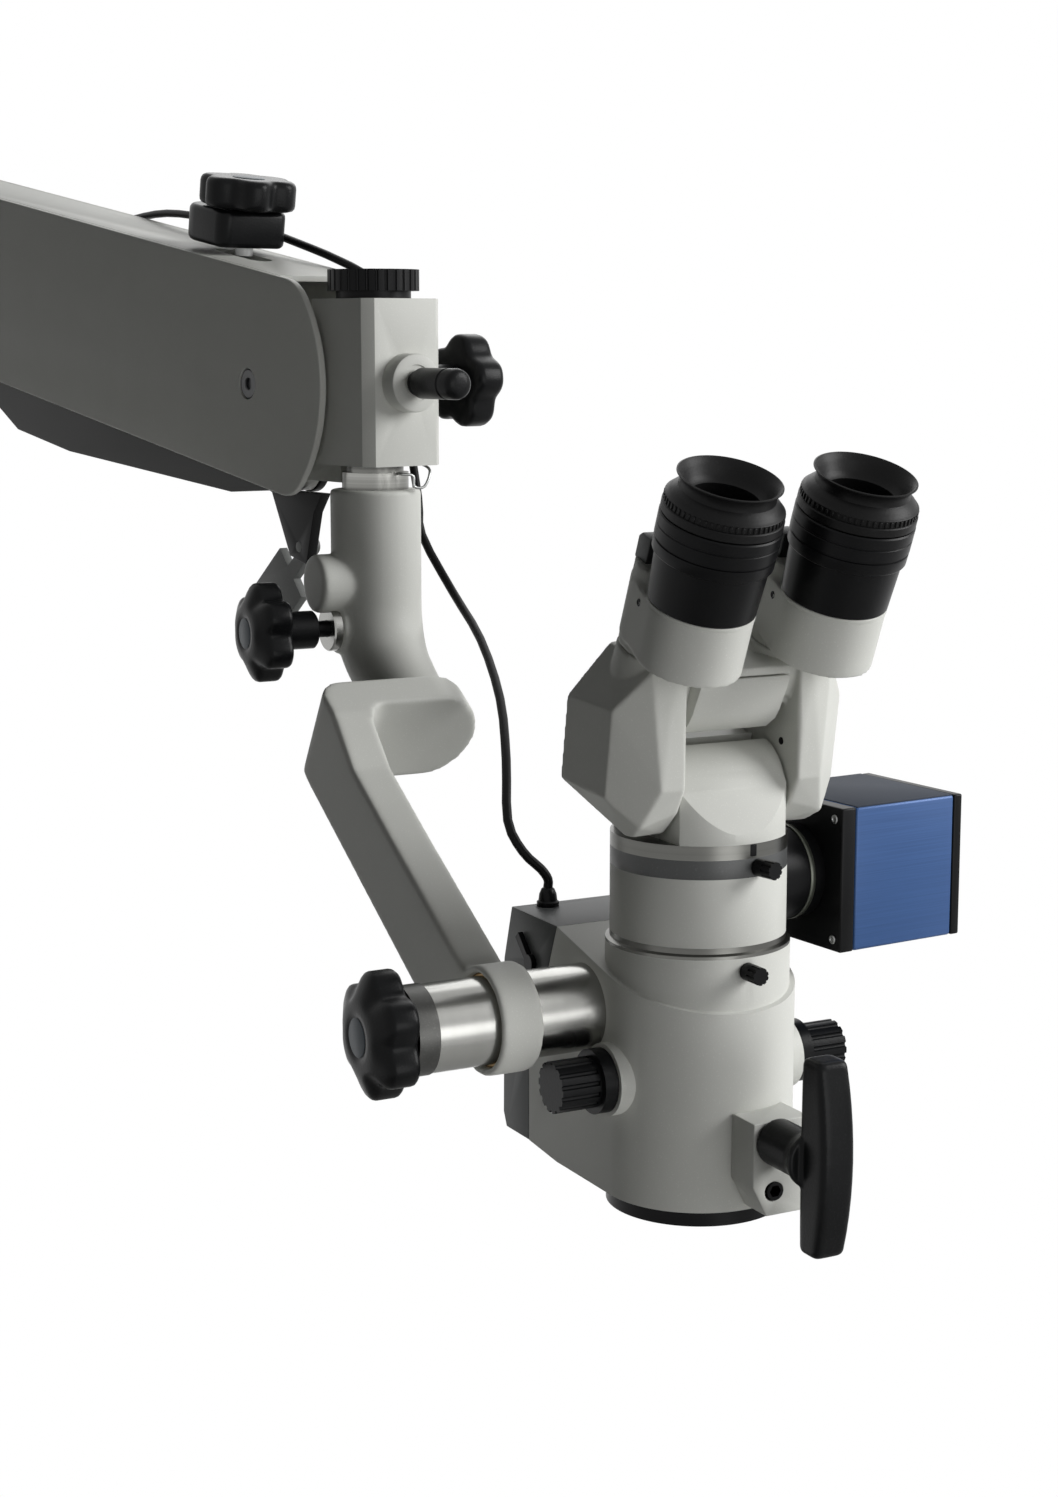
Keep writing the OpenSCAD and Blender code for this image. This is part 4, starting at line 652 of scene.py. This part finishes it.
def noseOutline():
    look = armCovers
    blends = []
    for reach, radius, side in ((look["up"], look["upBlend"], 1), (look["down"], look["downBlend"], -1)):
        x = -math.sqrt((look["nose"] - radius) ** 2 - (reach - radius) ** 2)
        y = side * (reach - radius)
        blends.append((x, y, radius, math.degrees(math.atan2(y, x)) % 360))
    up, down = blends
    front = arcPoints(*up[:3], 90, up[3], 10)
    front += arcPoints(0, 0, look["nose"], up[3], down[3], 22)[1:]
    front += arcPoints(*down, 270, 10)[1:]
    return front + [(places["armLength"] - x, y) for x, y in reversed(front)]


coverMeshes = []
coverCutters = []
for side in (-1, 1):
    low, high = sorted((side * armCovers["inner"], side * armCovers["outer"]))
    coverMeshes.append(prismMesh("cover", noseOutline(), low, high, armFrame @ alongAcross, armCovers["edge"], 3))
    near, far = side * (armCovers["outer"] - armCovers["screwDeep"]), side * (armCovers["outer"] + 3)
    for along in (0, places["armLength"]):
        coverCutters.append(latheMesh("recess", [(0, near), (armCovers["screwRadius"], near),
                                                 (armCovers["screwRadius"], far), (0, far)],
                                      armFrame @ shift(0, along, 0) @ alongX, 40))
linkPiece("armCovers", cutMesh("armCovers", joinMeshes("covers", coverMeshes), coverCutters), "arm",
          ["side_covers"], "whitePaint")
screwMeshes = [latheMesh("screw", [(radius, armCovers["outer"] + rise) for radius, rise in armCovers["screw"]],
                         armFrame @ shift(0, along, 0) @ facing, 48)
               for facing in (alongX, alongMinusX) for along in (0, places["armLength"])]
joinedPiece("coverScrews", screwMeshes, "arm", ["cover_screws"], "bandGrey")
print("stage: arm covers made")

# Elbow: one swept tube that narrows through its bend, with the lock's rounded boss
elbowLook = {"top": 312, "radius": 24, "endRadius": 19.6, "bend": 45, "cornerAlong": 281.2, "endAlong": 226.7,
             "sides": 64, "bendSteps": 14, "straightSteps": 5,
             "rim": [(0, 1.3), (0.3, 0.6), (1.0, 0.15), (1.8, 0), (22, 0), (42, 0)],
             "boss": [(0, 0), (15.5, 0), (15.5, 34), (15, 35.6), (13, 36.4), (0, 36.6)], "bossZ": 263,
             "pad": [(0, 0), (13.5, 0), (13.5, 24.6), (0, 24.6)], "padZ": 239, "collarOut": 24.4,
             "grid": 1.1, "passes": 5,
             "band": [(18, -0.6), (21.7, -0.6), (22, -0.3), (22, 0.3), (21.7, 0.6), (18, 0.6), (18, -0.6)],
             "bands": (224.2, 226)}


def elbowRings():
    look = elbowLook
    across, down = Vector((1, 0, 0)), Vector((0, 0, -1))
    slope = math.radians(places["crankSlope"])
    away = Vector((0, -math.cos(slope), -math.sin(slope)))
    corner = crankFrame @ Vector((places["elbowX"], look["cornerAlong"], places["elbowW"]))
    half = (math.pi / 2 - slope) / 2
    tangent = look["bend"] * math.tan(half)
    length = look["cornerAlong"] - look["endAlong"] - tangent
    total = 2 * half * look["bend"] + length

    def ringAt(place, along, run):
        share = run / total
        radius = look["radius"] + (look["endRadius"] - look["radius"]) * share * share * (3 - 2 * share)
        return ringAround(place, across, along.cross(across), radius, look["sides"])

    rings = [ringAround(corner + Vector((0, 0, look["top"] - corner.z - drop)), across, down.cross(across),
                        look["radius"] - less, look["sides"]) for drop, less in look["rim"]]
    middle = corner + Vector((0, -look["bend"], tangent))
    for k in range(look["bendSteps"] + 1):
        angle = 2 * half * k / look["bendSteps"]
        place = middle + look["bend"] * Vector((0, math.cos(angle), -math.sin(angle)))
        rings.append(ringAt(place, Vector((0, -math.sin(angle), -math.cos(angle))), angle * look["bend"]))
    for k in range(1, look["straightSteps"] + 1):
        run = length * k / look["straightSteps"]
        rings.append(ringAt(corner + away * (tangent + run), away, 2 * half * look["bend"] + run))
    return rings


elbowTube = loftMesh("elbowTube", elbowRings(), Matrix(), capped=True)
elbowBoss = latheMesh("elbowBoss", elbowLook["boss"], elbowFrame @ shift(0, 0, elbowLook["bossZ"]) @ alongMinusX, 48)
elbowPad = latheMesh("elbowPad", elbowLook["pad"], elbowFrame @ shift(0, 0, elbowLook["padZ"]) @ alongMinusX, 48)
linkPiece("elbowCasting", softMesh("elbowCasting", [elbowTube, elbowBoss, elbowPad], elbowLook["grid"],
                                   elbowLook["passes"]), "elbow_unit", ["elbow"], "whitePaint")
bandMeshes = [latheMesh("band", elbowLook["band"],
                        crankFrame @ shift(places["elbowX"], along, places["elbowW"]) @ alongMinusY)
              for along in elbowLook["bands"]]
joinedPiece("elbowBands", bandMeshes, "elbow_unit", None, "whitePaint")
elbowCollar = [(4.6, 0), (12, 0), (12, 3.9), (11.3, 4.7), (4.6, 4.7), (4.6, 0)]
lathePiece("elbowCollar", elbowCollar, elbowFrame @ shift(-elbowLook["collarOut"], 0, elbowLook["padZ"]) @ alongMinusX,
           "elbow_unit", None, "turnedShaft", 64)
retainer = {"radius": 0.75, "points": [(-14, 262, 324.9), (-14.5, 250, 322), (-19, 247, 314), (-25, 247, 314),
                                       (-25.6, 247, 319.5), (-31, 248, 320.5), (-31, 255, 320.5)]}
linkPiece("retainerWire", sweptMesh("retainerWire", smoothRoute(retainer["points"], 4), retainer["radius"], 10),
          "block", None, "bareMetal")
print("stage: elbow made")

# Star knobs with their cap inserts
tensionFrame = armFrame @ shift(0, 61, 0)
knobs = {
    "tiltKnob": {"node": "tilt_knob", "body": "tilt_brake", "radius": 29, "thick": 19.5, "foot": [(14, 0), (14, 1.4)],
                 "shape": starShape, "phase": 0, "lobes": 6, "cap": 8.8, "frame": shaftFrame @ shift(0, 0, 137.5)},
    "elbowKnob": {"node": "elbow_knob", "body": "elbow_brake", "radius": 26, "thick": 19,
                  "foot": [(4.4, 0), (4.4, 8), (9.2, 8.2), (10, 9), (10, 28)], "shape": starShape, "phase": 0,
                  "lobes": 6, "cap": 8, "frame": elbowFrame @ shift(-28.6, 0, 239) @ alongMinusX},
    "blockKnob": {"node": "block_knob", "body": "block_brake", "radius": 25, "thick": 17, "foot": [(9, 0), (9, 16)],
                  "shape": flatShape, "phase": 47, "lobes": 5, "cap": 8,
                  "frame": blockFrame @ shift(24.6, -14, 368) @ alongX},
    "tensionKnob": {"node": "tension_knob", "body": "tension", "radius": 27.5, "thick": 17,
                    "foot": [(9, -1), (9, 0.3)], "shape": flatShape, "phase": 10, "lobes": 6, "cap": 9,
                    "frame": tensionFrame @ shift(0, 0, 87.2)},
}
capShape = {"deep": 5, "edgeIn": 0.5, "edgeDown": 0.3, "crown": 0.02}
for name, knob in knobs.items():
    linkPiece(name, starMesh(name, knob), knob["body"], [knob["node"]], "blackPlastic")
    top = knob["foot"][-1][1] + knob["thick"]
    cap = [(0, top - capShape["deep"]), (knob["cap"], top - capShape["deep"]),
           (knob["cap"], top - capShape["edgeDown"]), (knob["cap"] - capShape["edgeIn"], top - capShape["crown"]),
           (0, top)]
    lathePiece(name + "Cap", cap, knob["frame"], knob["body"], None, "capInsert", 48)
tension = {"rodFrom": 61.4, "rod": [(0, 0), (5, 0), (5, 26.4), (0, 26.4)],
           "hole": [(0, 60), (5.3, 60), (5.3, 96), (0, 96)],
           "half": 22, "front": 49.5, "corner": (4, 5), "rear": 80, "low": 66.2, "high": 86.6, "edge": 3.2}
lathePiece("tensionRod", tension["rod"], tensionFrame @ shift(0, 0, tension["rodFrom"]), "tension", None,
           "bareMetal", 32)
half, front, (cornerX, cornerY) = tension["half"], tension["front"], tension["corner"]
carriageOutline = ([(half, front + cornerY), (half - cornerX, front), (cornerX - half, front),
                    (-half, front + cornerY)]
                   + list(reversed(arcPoints(0, tension["rear"], half, 0, 180, 24))))
carriage = prismMesh("carriage", carriageOutline, tension["low"], tension["high"], armFrame, tension["edge"], 4)
rodHole = latheMesh("rodHole", tension["hole"], tensionFrame, 40)
linkPiece("tensionCarriage", cutMesh("tensionCarriage", carriage, [rodHole]), "arm", None,
          "blackPlastic")
print("stage: knobs made")

# Index plunger and its painted bush
plunger = {
    "bush": [(5.1, 29.1), (15, 29.1), (15, 37.6), (14.7, 38.6), (14.1, 39), (9.4, 39.1), (9.2, 38.4), (6.9, 38.4),
             (6.7, 39.1), (5.1, 39.1), (5.1, 29.1)],
    "pin": [(0, 30), (5, 30), (5, 39.3), (6.4, 39.5), (6.6, 40), (6.6, 43.4), (7.5, 43.6), (7.9, 44.3), (7.9, 65.6),
            (7.3, 66.2), (7.3, 67), (7.9, 67.6), (7.9, 73.5), (7.3, 75.8), (5.8, 77), (3, 77.4), (0, 77.4)],
}
plungerFrame = blockFrame @ shift(0, 0, 368) @ alongMinusY
lathePiece("plungerBush", plunger["bush"], plungerFrame, "block", ["plunger_collar"], "whitePaint")
lathePiece("plungerPin", plunger["pin"], plungerFrame, "plunger", ["index_plunger"], "blackPlastic")

# T handle: bowed grip blended into its stem; hexagon key socket below the stem
grip = {"x": 5.5, "inner": -88.7, "outer": -102.3, "bow": 5.9, "half": 7.8, "swell": 0.7, "low": 3, "high": 90,
        "power": 6, "steps": 48,
        "heights": [3, 3.3, 4, 5.6, 14, 22, 30, 38, 46.5, 55, 63, 71, 79, 87.4, 89, 89.7, 90],
        "shrink": [0.66, 0.83, 0.94, 0.99, 1, 1, 1, 1, 1, 1, 1, 1, 1, 0.99, 0.94, 0.83, 0.66],
        "grid": 0.8, "passes": 3, "stemAt": (3.5, 0, 44),
        "stem": [(0, 50), (7.9, 50), (7.9, 62.4), (10.6, 62.4), (10.6, 84), (11.4, 87), (12.6, 90), (12.6, 92),
                 (0, 92)]}
gripRings = []
for height, shrink in zip(grip["heights"], grip["shrink"]):
    away = (height - (grip["low"] + grip["high"]) / 2) / ((grip["high"] - grip["low"]) / 2)
    outer = grip["outer"] - grip["bow"] * (1 - away * away)
    halfX = (grip["half"] + grip["swell"] * (1 - away * away)) * shrink
    halfY = (grip["inner"] - outer) / 2 * shrink
    ring = []
    for c, s, _ in circleRing(1, 0, grip["steps"]):
        ring.append((grip["x"] + halfX * math.copysign(abs(c) ** (2 / grip["power"]), c),
                     (grip["inner"] + outer) / 2 + halfY * math.copysign(abs(s) ** (2 / grip["power"]), s), height))
    gripRings.append(ring)
stemFrame = shift(*grip["stemAt"]) @ alongMinusY
gripMesh = softMesh("gripHandle", [loftMesh("grip", gripRings, Matrix(), capped=True),
                                   latheMesh("stem", grip["stem"], stemFrame, 64)], grip["grid"], grip["passes"])
linkPiece("gripHandle", gripMesh, "handle", ["t_handle"], "blackPlastic")
keyLook = {"outer": 4.2, "hex": 2.9, "front": 62.3, "back": 53, "deep": 54, "steps": 48, "at": (3.5, 0, 21)}
keyFrame = shift(*keyLook["at"]) @ alongMinusY


# Ring on a hexagon
def hexRing(radius, height, steps):
    ring = []
    for k, (x, y, _) in enumerate(circleRing(radius, 0, steps)):
        away = math.radians(k * 360 / steps % 60 - 30)
        reach = 0.87 / math.cos(away)
        ring.append((x * reach, y * reach, height))
    return ring


keyRings = [[(0, 0, keyLook["back"])], circleRing(keyLook["outer"], keyLook["back"], keyLook["steps"]),
            circleRing(keyLook["outer"], keyLook["front"], keyLook["steps"]),
            hexRing(keyLook["hex"], keyLook["front"], keyLook["steps"]),
            hexRing(keyLook["hex"], keyLook["deep"], keyLook["steps"]), [(0, 0, keyLook["deep"])]]
linkPiece("keySocket", loftMesh("keySocket", keyRings, keyFrame), "head", None, "blackMetal")
print("stage: handle made")

# Binocular body: two faceted cheeks on a recessed block, and the bridge with its lid
binocular = {
    "cheek": [(-59, 16, 236), (-59, -24, 234), (-59, -18, 195), (-59, 22, 198), (-46, -36, 251.7), (-45, 3, 260),
              (-35, -38, 252.5), (-28.7, -37, 253.2), (-41, -36, 199), (-28.7, -36, 199), (-47, -28, 182),
              (-45, -19, 176.7), (-45, -12, 176), (-28.7, -30, 188), (-28.7, -18, 177), (-28.7, -6, 174.4),
              (-28.7, 14, 184), (-28.7, 20, 200), (-28.7, 16, 240), (-28.7, 8, 262)],
    "block": [(-26, 232), (16, 240), (14, 262), (2, 267), (-26, 252)],
    "bridge": [(2, 218.2), (2, 246.3), (-38, 246.3), (-38, 244.4), (-36, 240), (-33.3, 235.5), (-30.8, 230.4),
               (-27, 225.6), (-20, 221.2), (-10, 219.2)],
    "lid": [(-12, 246.9), (-12, 257.2), (-30, 253.3), (-37.9, 250.5), (-37.9, 246.9)],
    "bridgeHalf": 22.6, "lidOver": 0.4, "grid": 0.95, "passes": 3, "seat": 18.5,
    "domeRadius": 25.2, "domeY": -4, "domeZ": 190, "domeFrom": 150, "domeTo": 75, "shoulder": (-40.4, 176.6),
    "behind": (70, 232.4), "edge": 0.7, "screwAt": (28.9, -22.7, 214.3),
    "notch": [(2.1, 167.4), (5.5, 167.4), (5.5, 172.8), (2.1, 172.8)], "notchFront": (38.5, 40.15),
}
cheekPoints = binocular["cheek"]
bodyMeshes = [hullMesh("leftCheek", cheekPoints, Matrix()),
              hullMesh("rightCheek", [(-x, y, z) for x, y, z in cheekPoints], Matrix()),
              prismMesh("joiningBlock", binocular["block"], -30, 30, alongAcross)]
for side in (-1, 1):
    bodyMeshes.append(latheMesh("seat", [(0, -20), (binocular["seat"], -20), (binocular["seat"], -0.2), (0, -0.2)],
                                tubeFrame(side) @ shift(0, places["tubeBack"], 0), 48))
linkPiece("tubeHead", softMesh("tubeHead", bodyMeshes, binocular["grid"], binocular["passes"]), "tube_head",
          ["binocular_housing"], "whitePaint")
half = binocular["bridgeHalf"]
bridgeMeshes = [prismMesh("bridge", binocular["bridge"], -half, half, alongAcross, 0.5, 2, 50),
                prismMesh("lid", binocular["lid"], -half - binocular["lidOver"], half + binocular["lidOver"],
                          alongAcross, 0.7, 2, 20)]
joinedPiece("tubeBridge", bridgeMeshes, "tube_head", None, "whitePaint")
domeArc = arcPoints(binocular["domeY"], binocular["domeZ"], binocular["domeRadius"], binocular["domeFrom"],
                    binocular["domeTo"], 40)
aboveDome = ([(-70, binocular["shoulder"][1]), binocular["shoulder"]] + domeArc
             + [binocular["behind"], (70, 250), (-70, 250)])
domeMesh = cutMesh("dome", nodeMesh("binocular_base"), [prismMesh("above", aboveDome, -60, 60, alongAcross)])
linkPiece("tubeBase", bevelled("tubeBase", domeMesh, binocular["edge"], 2, 30, "MITER_SHARP"), "tube_base",
          ["binocular_base"], "whitePaint")
cheekScrew = [(0, 0), (1.7, 0), (1.7, 0.5), (1.2, 0.7), (1.0, 0.35), (0, 0.35)]
lathePiece("cheekScrew", cheekScrew, shift(*binocular["screwAt"]) @ alongMinusX, "tube_head", None,
           "blackMetal", 24)
linkPiece("indexNotch", prismMesh("indexNotch", binocular["notch"], *binocular["notchFront"], alongMinusY, 0.3, 1),
          "tube_base", None, "blackMetal")
print("stage: binocular body made")

# Tubes and eyepieces: hinged tube bodies, turned barrels, dioptre rings and rubber cups
eyepiece = {
    "tube": {"radius": 23.2, "caseRadius": 19, "back": 23, "low": 5, "high": 32.6, "caseHigh": 40, "top": 33,
             "grid": 0.9, "passes": 3, "screwAt": (-20.5, 15, 27)},
    "rim": [(19, 31.6), (23.1, 31.6), (23.4, 31.9), (23.4, 33.1), (23.1, 33.4), (19, 33.4), (19, 31.6)],
    "yoke": {"near": 8.5, "far": 15.5, "outline": [(24.5, 39), (34.5, 39), (34.5, 49), (32, 51.5), (24.5, 51.5)]},
    "barrel": [(14.8, 17.4), (14.8, 0.4), (22.8, 0.4), (23.4, 1), (24.4, 21.9), (25.6, 22.6), (25.9, 23.2),
               (26, 27.7), (25.4, 28), (25.4, 28.7), (26.1, 29), (26.1, 33.9), (25.7, 34.2), (25.7, 34.6),
               (26.1, 34.9), (26.1, 39.2), (25.6, 39.8), (14.8, 39.8), (14.8, 17.4)],
    "cup": [(14.8, 31.4), (18.4, 31.4), (18.4, 40.3), (25.5, 40.3), (25.9, 40.7), (25.9, 44), (25.5, 44.4),
            (25, 44.6), (25, 47.4), (25.4, 47.6), (25, 48), (24.1, 48.4), (23.5, 49.5), (21.5, 51.2), (20.7, 51.8),
            (20.5, 53.1), (20.7, 54.9), (21.7, 56.7), (22.5, 57.4), (22.5, 57.8), (21.9, 58), (20.9, 57.2),
            (19.2, 54.8), (17.6, 51.6), (16, 49.6), (14.8, 48.9), (14.8, 31.4)],
    "lens": [(0, 36.7), (7.4, 36.4), (14.2, 35), (14.2, 31.6), (0, 31.6)],
    "ribs": {"count": 60, "radius": 24.9, "width": 1.2, "depth": 1.4, "height": 2.5, "middle": 46},
}
tube = eyepiece["tube"]
for name, side in (("left", -1), ("right", 1)):
    place, body = tubeFrame(side), "tube_" + name
    hullPoints = [(x, y + back, z) for radius, back in ((tube["radius"], 0), (tube["caseRadius"], tube["back"]))
                  for z in (tube["low"], tube["high"]) for x, y, _ in circleRing(radius, 0, 72)]
    case = [(0, 0.5), (tube["caseRadius"] - 0.4, 0.5), (tube["caseRadius"] - 0.4, tube["caseHigh"]),
            (0, tube["caseHigh"])]
    tubeMesh = softMesh(name + "Tube", [hullMesh("tubeHull", hullPoints, place),
                                        latheMesh("case", case, place @ shift(0, tube["back"], 0), 64)],
                        tube["grid"], tube["passes"])
    rim = latheMesh("rim", eyepiece["rim"], place)
    joinedPiece(name + "Tube", [tubeMesh, rim], body, [name + "_tube"], "whitePaint")
    yoke = eyepiece["yoke"]
    yokeMeshes = [prismMesh("yoke", yoke["outline"], low, high, place @ alongAcross, 0.8, 2)
                  for low, high in ((yoke["near"], yoke["far"]), (-yoke["far"], -yoke["near"]))]
    joinedPiece(name + "Yoke", yokeMeshes, body, None, "greyPaint")
    lathePiece(name + "CaseScrew", cheekScrew, place @ shift(*tube["screwAt"]) @ alongMinusX, body,
               None, "blackMetal", 24)
    topFrame = place @ shift(0, 0, tube["top"])
    lathePiece(name + "Barrel", eyepiece["barrel"], topFrame, body,
               [name + "_eyepiece"], "blackMetal")
    ribs = eyepiece["ribs"]
    cupMesh = latheMesh(name + "Cup", eyepiece["cup"], topFrame)
    knurl = ribMesh(name + "Knurl", ribs["count"], ribs["radius"], ribs["width"], ribs["depth"], ribs["height"],
                    topFrame @ shift(0, 0, ribs["middle"]), "softRubber")
    joinedPiece(name + "Eyecup", [cupMesh, knurl], "cup_" + name, [name + "_eyecup"], "softRubber")
    lathePiece(name + "EyeLens", eyepiece["lens"], topFrame, body, None, "coatedGlass", 48)
print("stage: eyepieces made")

# Camera on the side port: anodised case between black plates, corner screws and the port's ring
sideCamera = {"half": 33.5, "front": 56, "caseFrom": 64, "caseTo": 123, "back": 128, "inset": 5.5, "gap": 0.1,
              "shadeSheetInset": 0.6, "shadeSheetDeep": 1.6, "lidOver": 0.25, "shadeSheetEnd": 0.9, "glandAt": (-28, 92, 0),
              "screw": [(0, -0.4), (2.1, -0.4), (2.1, 0.3), (1.8, 0.6), (1.2, 0.65), (1.0, 0.2), (0, 0.2)],
              "ring": [(19.6, 47.6), (22.4, 47.6), (22.6, 47.9), (22.6, 49.9), (22.4, 50.2), (19.6, 50.2),
                       (19.6, 47.6)]}
half = sideCamera["half"]
square = [(-half, -half), (half, -half), (half, half), (-half, half)]
plateMeshes = [prismMesh("plate", square, low, high, cameraFrame @ alongAcross, 0.9, 3)
               for low, high in ((sideCamera["front"], sideCamera["caseFrom"]),
                                 (sideCamera["caseTo"], sideCamera["back"]))]
joinedPiece("cameraPlates", plateMeshes, "head", ["camera_plates"], "blackMetal")
caseFrom, caseTo, gap, shadeSheetEnd = (sideCamera[key] for key in ("caseFrom", "caseTo", "gap", "shadeSheetEnd"))
linkPiece("cameraCase", prismMesh("cameraCase", square, caseFrom + gap, caseTo - gap, cameraFrame @ alongAcross, 1.5,
                                  3), "head", ["camera_shell"], "blueAnodised")
# Thin dark sheet over the case's top, in the slate paint: painted shade where the top takes little light, not a lid of
# its own
shadeSheetHalf, shadeSheetLow, shadeSheetTop = half - sideCamera["shadeSheetInset"], half - sideCamera["shadeSheetDeep"], half + sideCamera["lidOver"]
shadeSheetOutline = [(-shadeSheetHalf, shadeSheetLow), (-shadeSheetHalf, shadeSheetTop), (shadeSheetHalf, shadeSheetTop), (shadeSheetHalf, shadeSheetLow)]
linkPiece("cameraPaintedShade", prismMesh("cameraPaintedShade", shadeSheetOutline, caseFrom + shadeSheetEnd, caseTo - shadeSheetEnd,
                                 cameraFrame @ alongAcross, 0.3, 2), "head", None, "paintedShadeTop")
screwMeshes = []
cornerAway = half - sideCamera["inset"]
for y in (-cornerAway, cornerAway):
    for z in (-cornerAway, cornerAway):
        for x, facing in ((sideCamera["front"], alongMinusX), (sideCamera["back"], alongX)):
            screwMeshes.append(latheMesh("screw", sideCamera["screw"], cameraFrame @ shift(x, y, z) @ facing, 24))
joinedPiece("cameraScrews", screwMeshes, "head", None, "bareMetal")
lathePiece("portRing", sideCamera["ring"], cameraFrame @ alongX, "head", None, "portRing")
gland = [(0, 121.6), (5.4, 121.6), (5.4, 123.6), (4.6, 124.2), (4.2, 127.4), (3.2, 129.8), (2.5, 130.4), (0, 130.4)]
lathePiece("cableGland", gland, shift(*sideCamera["glandAt"]), "head", ["cable_gland"],
           "blackPlastic", 48)
print("stage: camera made")

# Materials of the solids that stay as they are
keptPaints = {
    "turnedShaft": ["tilt_shaft"],
    "turnedUpright": ["spindle", "mount_spindle"],
    "turnedRing": ["groove_ring", "turning_ring"],
    "bareMetal": ["arm_frame", "arm_pins", "balance_spring", "link_pins", "lamp_module"],
    "screwSteel": ["shaft_collar"],
    "blackPlastic": ["cable_clips", "mag_knobs", "fan_rotor", "filter_lever"],
    "blackMetal": ["spindle_nut", "objective_ring", "camera_adapter", "lower_thumb_screw", "upper_thumb_screw",
                   "mag_drum"],
    "whitePaint": ["swivel_pin"],
    "coatedGlass": ["objective_lens", "splitter_prism"],
}
for paint, nodes in keptPaints.items():
    for node in nodes:
        materials = nodeObjects[node].data.materials
        materials.clear()
        materials.append(paints[paint])
print("stage: kept solids painted")

# Stage: white to the camera, glossy and clear rays, plain grey light otherwise
stageLook = {"floorDrop": 1100, "floorRadius": 1.8, "ambient": (0.54, 0.55, 0.53), "ambientLevel": 0.04,
             "aim": (0, 60, 200)}
world = bpy.data.worlds.new("studio")
bpy.context.scene.world = world
world.use_nodes = True
tree = world.node_tree
tree.nodes.clear()
ray = addNode(tree, "ShaderNodeLightPath")
seen = addNode(tree, "ShaderNodeMath", {0: ray.outputs["Is Camera Ray"], 1: ray.outputs["Is Glossy Ray"]},
               operation="MAXIMUM")
clear = addNode(tree, "ShaderNodeMath", {0: seen.outputs[0], 1: ray.outputs["Is Transmission Ray"]},
                operation="MAXIMUM")
lit = addNode(tree, "ShaderNodeBackground", {"Color": (*stageLook["ambient"], 1),
                                             "Strength": stageLook["ambientLevel"]})
white = addNode(tree, "ShaderNodeBackground", {"Color": (1, 1, 1, 1), "Strength": 1.0})
mixed = addNode(tree, "ShaderNodeMixShader", {0: clear.outputs[0], 1: lit.outputs[0], 2: white.outputs[0]})
worldOut = addNode(tree, "ShaderNodeOutputWorld")
tree.links.new(mixed.outputs[0], worldOut.inputs["Surface"])

floorMesh = bpy.data.meshes.new("floor")
work = bmesh.new()
bmesh.ops.create_circle(work, cap_ends=True, segments=96, radius=stageLook["floorRadius"])
work.transform(Matrix.Translation(metres(0, 0, -stageLook["floorDrop"])))
work.to_mesh(floorMesh)
work.free()
floor = addObject("floor", floorMesh)
floorPaint = startMaterial("floorPaint", {"Base Color": (0.8, 0.8, 0.79, 1), "Roughness": 0.6})[0]
floorMesh.materials.append(floorPaint)

lamps = {
    "keyLamp": {"place": (1870, -1060, 1200), "size": 1.5, "power": 58},
    "frontLamp": {"place": (300, -2260, 60), "size": 1.6, "power": 18},
    "backLamp": {"place": (900, 1600, 1500), "size": 1.6, "power": 10},
}
for name, lamp in lamps.items():
    light = bpy.data.lights.new(name, "AREA")
    light.shape = "DISK"
    light.size = lamp["size"]
    light.energy = lamp["power"]
    source = addObject(name, light)
    place = metres(*lamp["place"])
    aim = metres(*stageLook["aim"]) - place
    source.matrix_world = Matrix.Translation(place) @ aim.to_track_quat("-Z", "Y").to_matrix().to_4x4()
bpy.context.scene.view_settings.view_transform = "Standard"
print("stage: lights set")
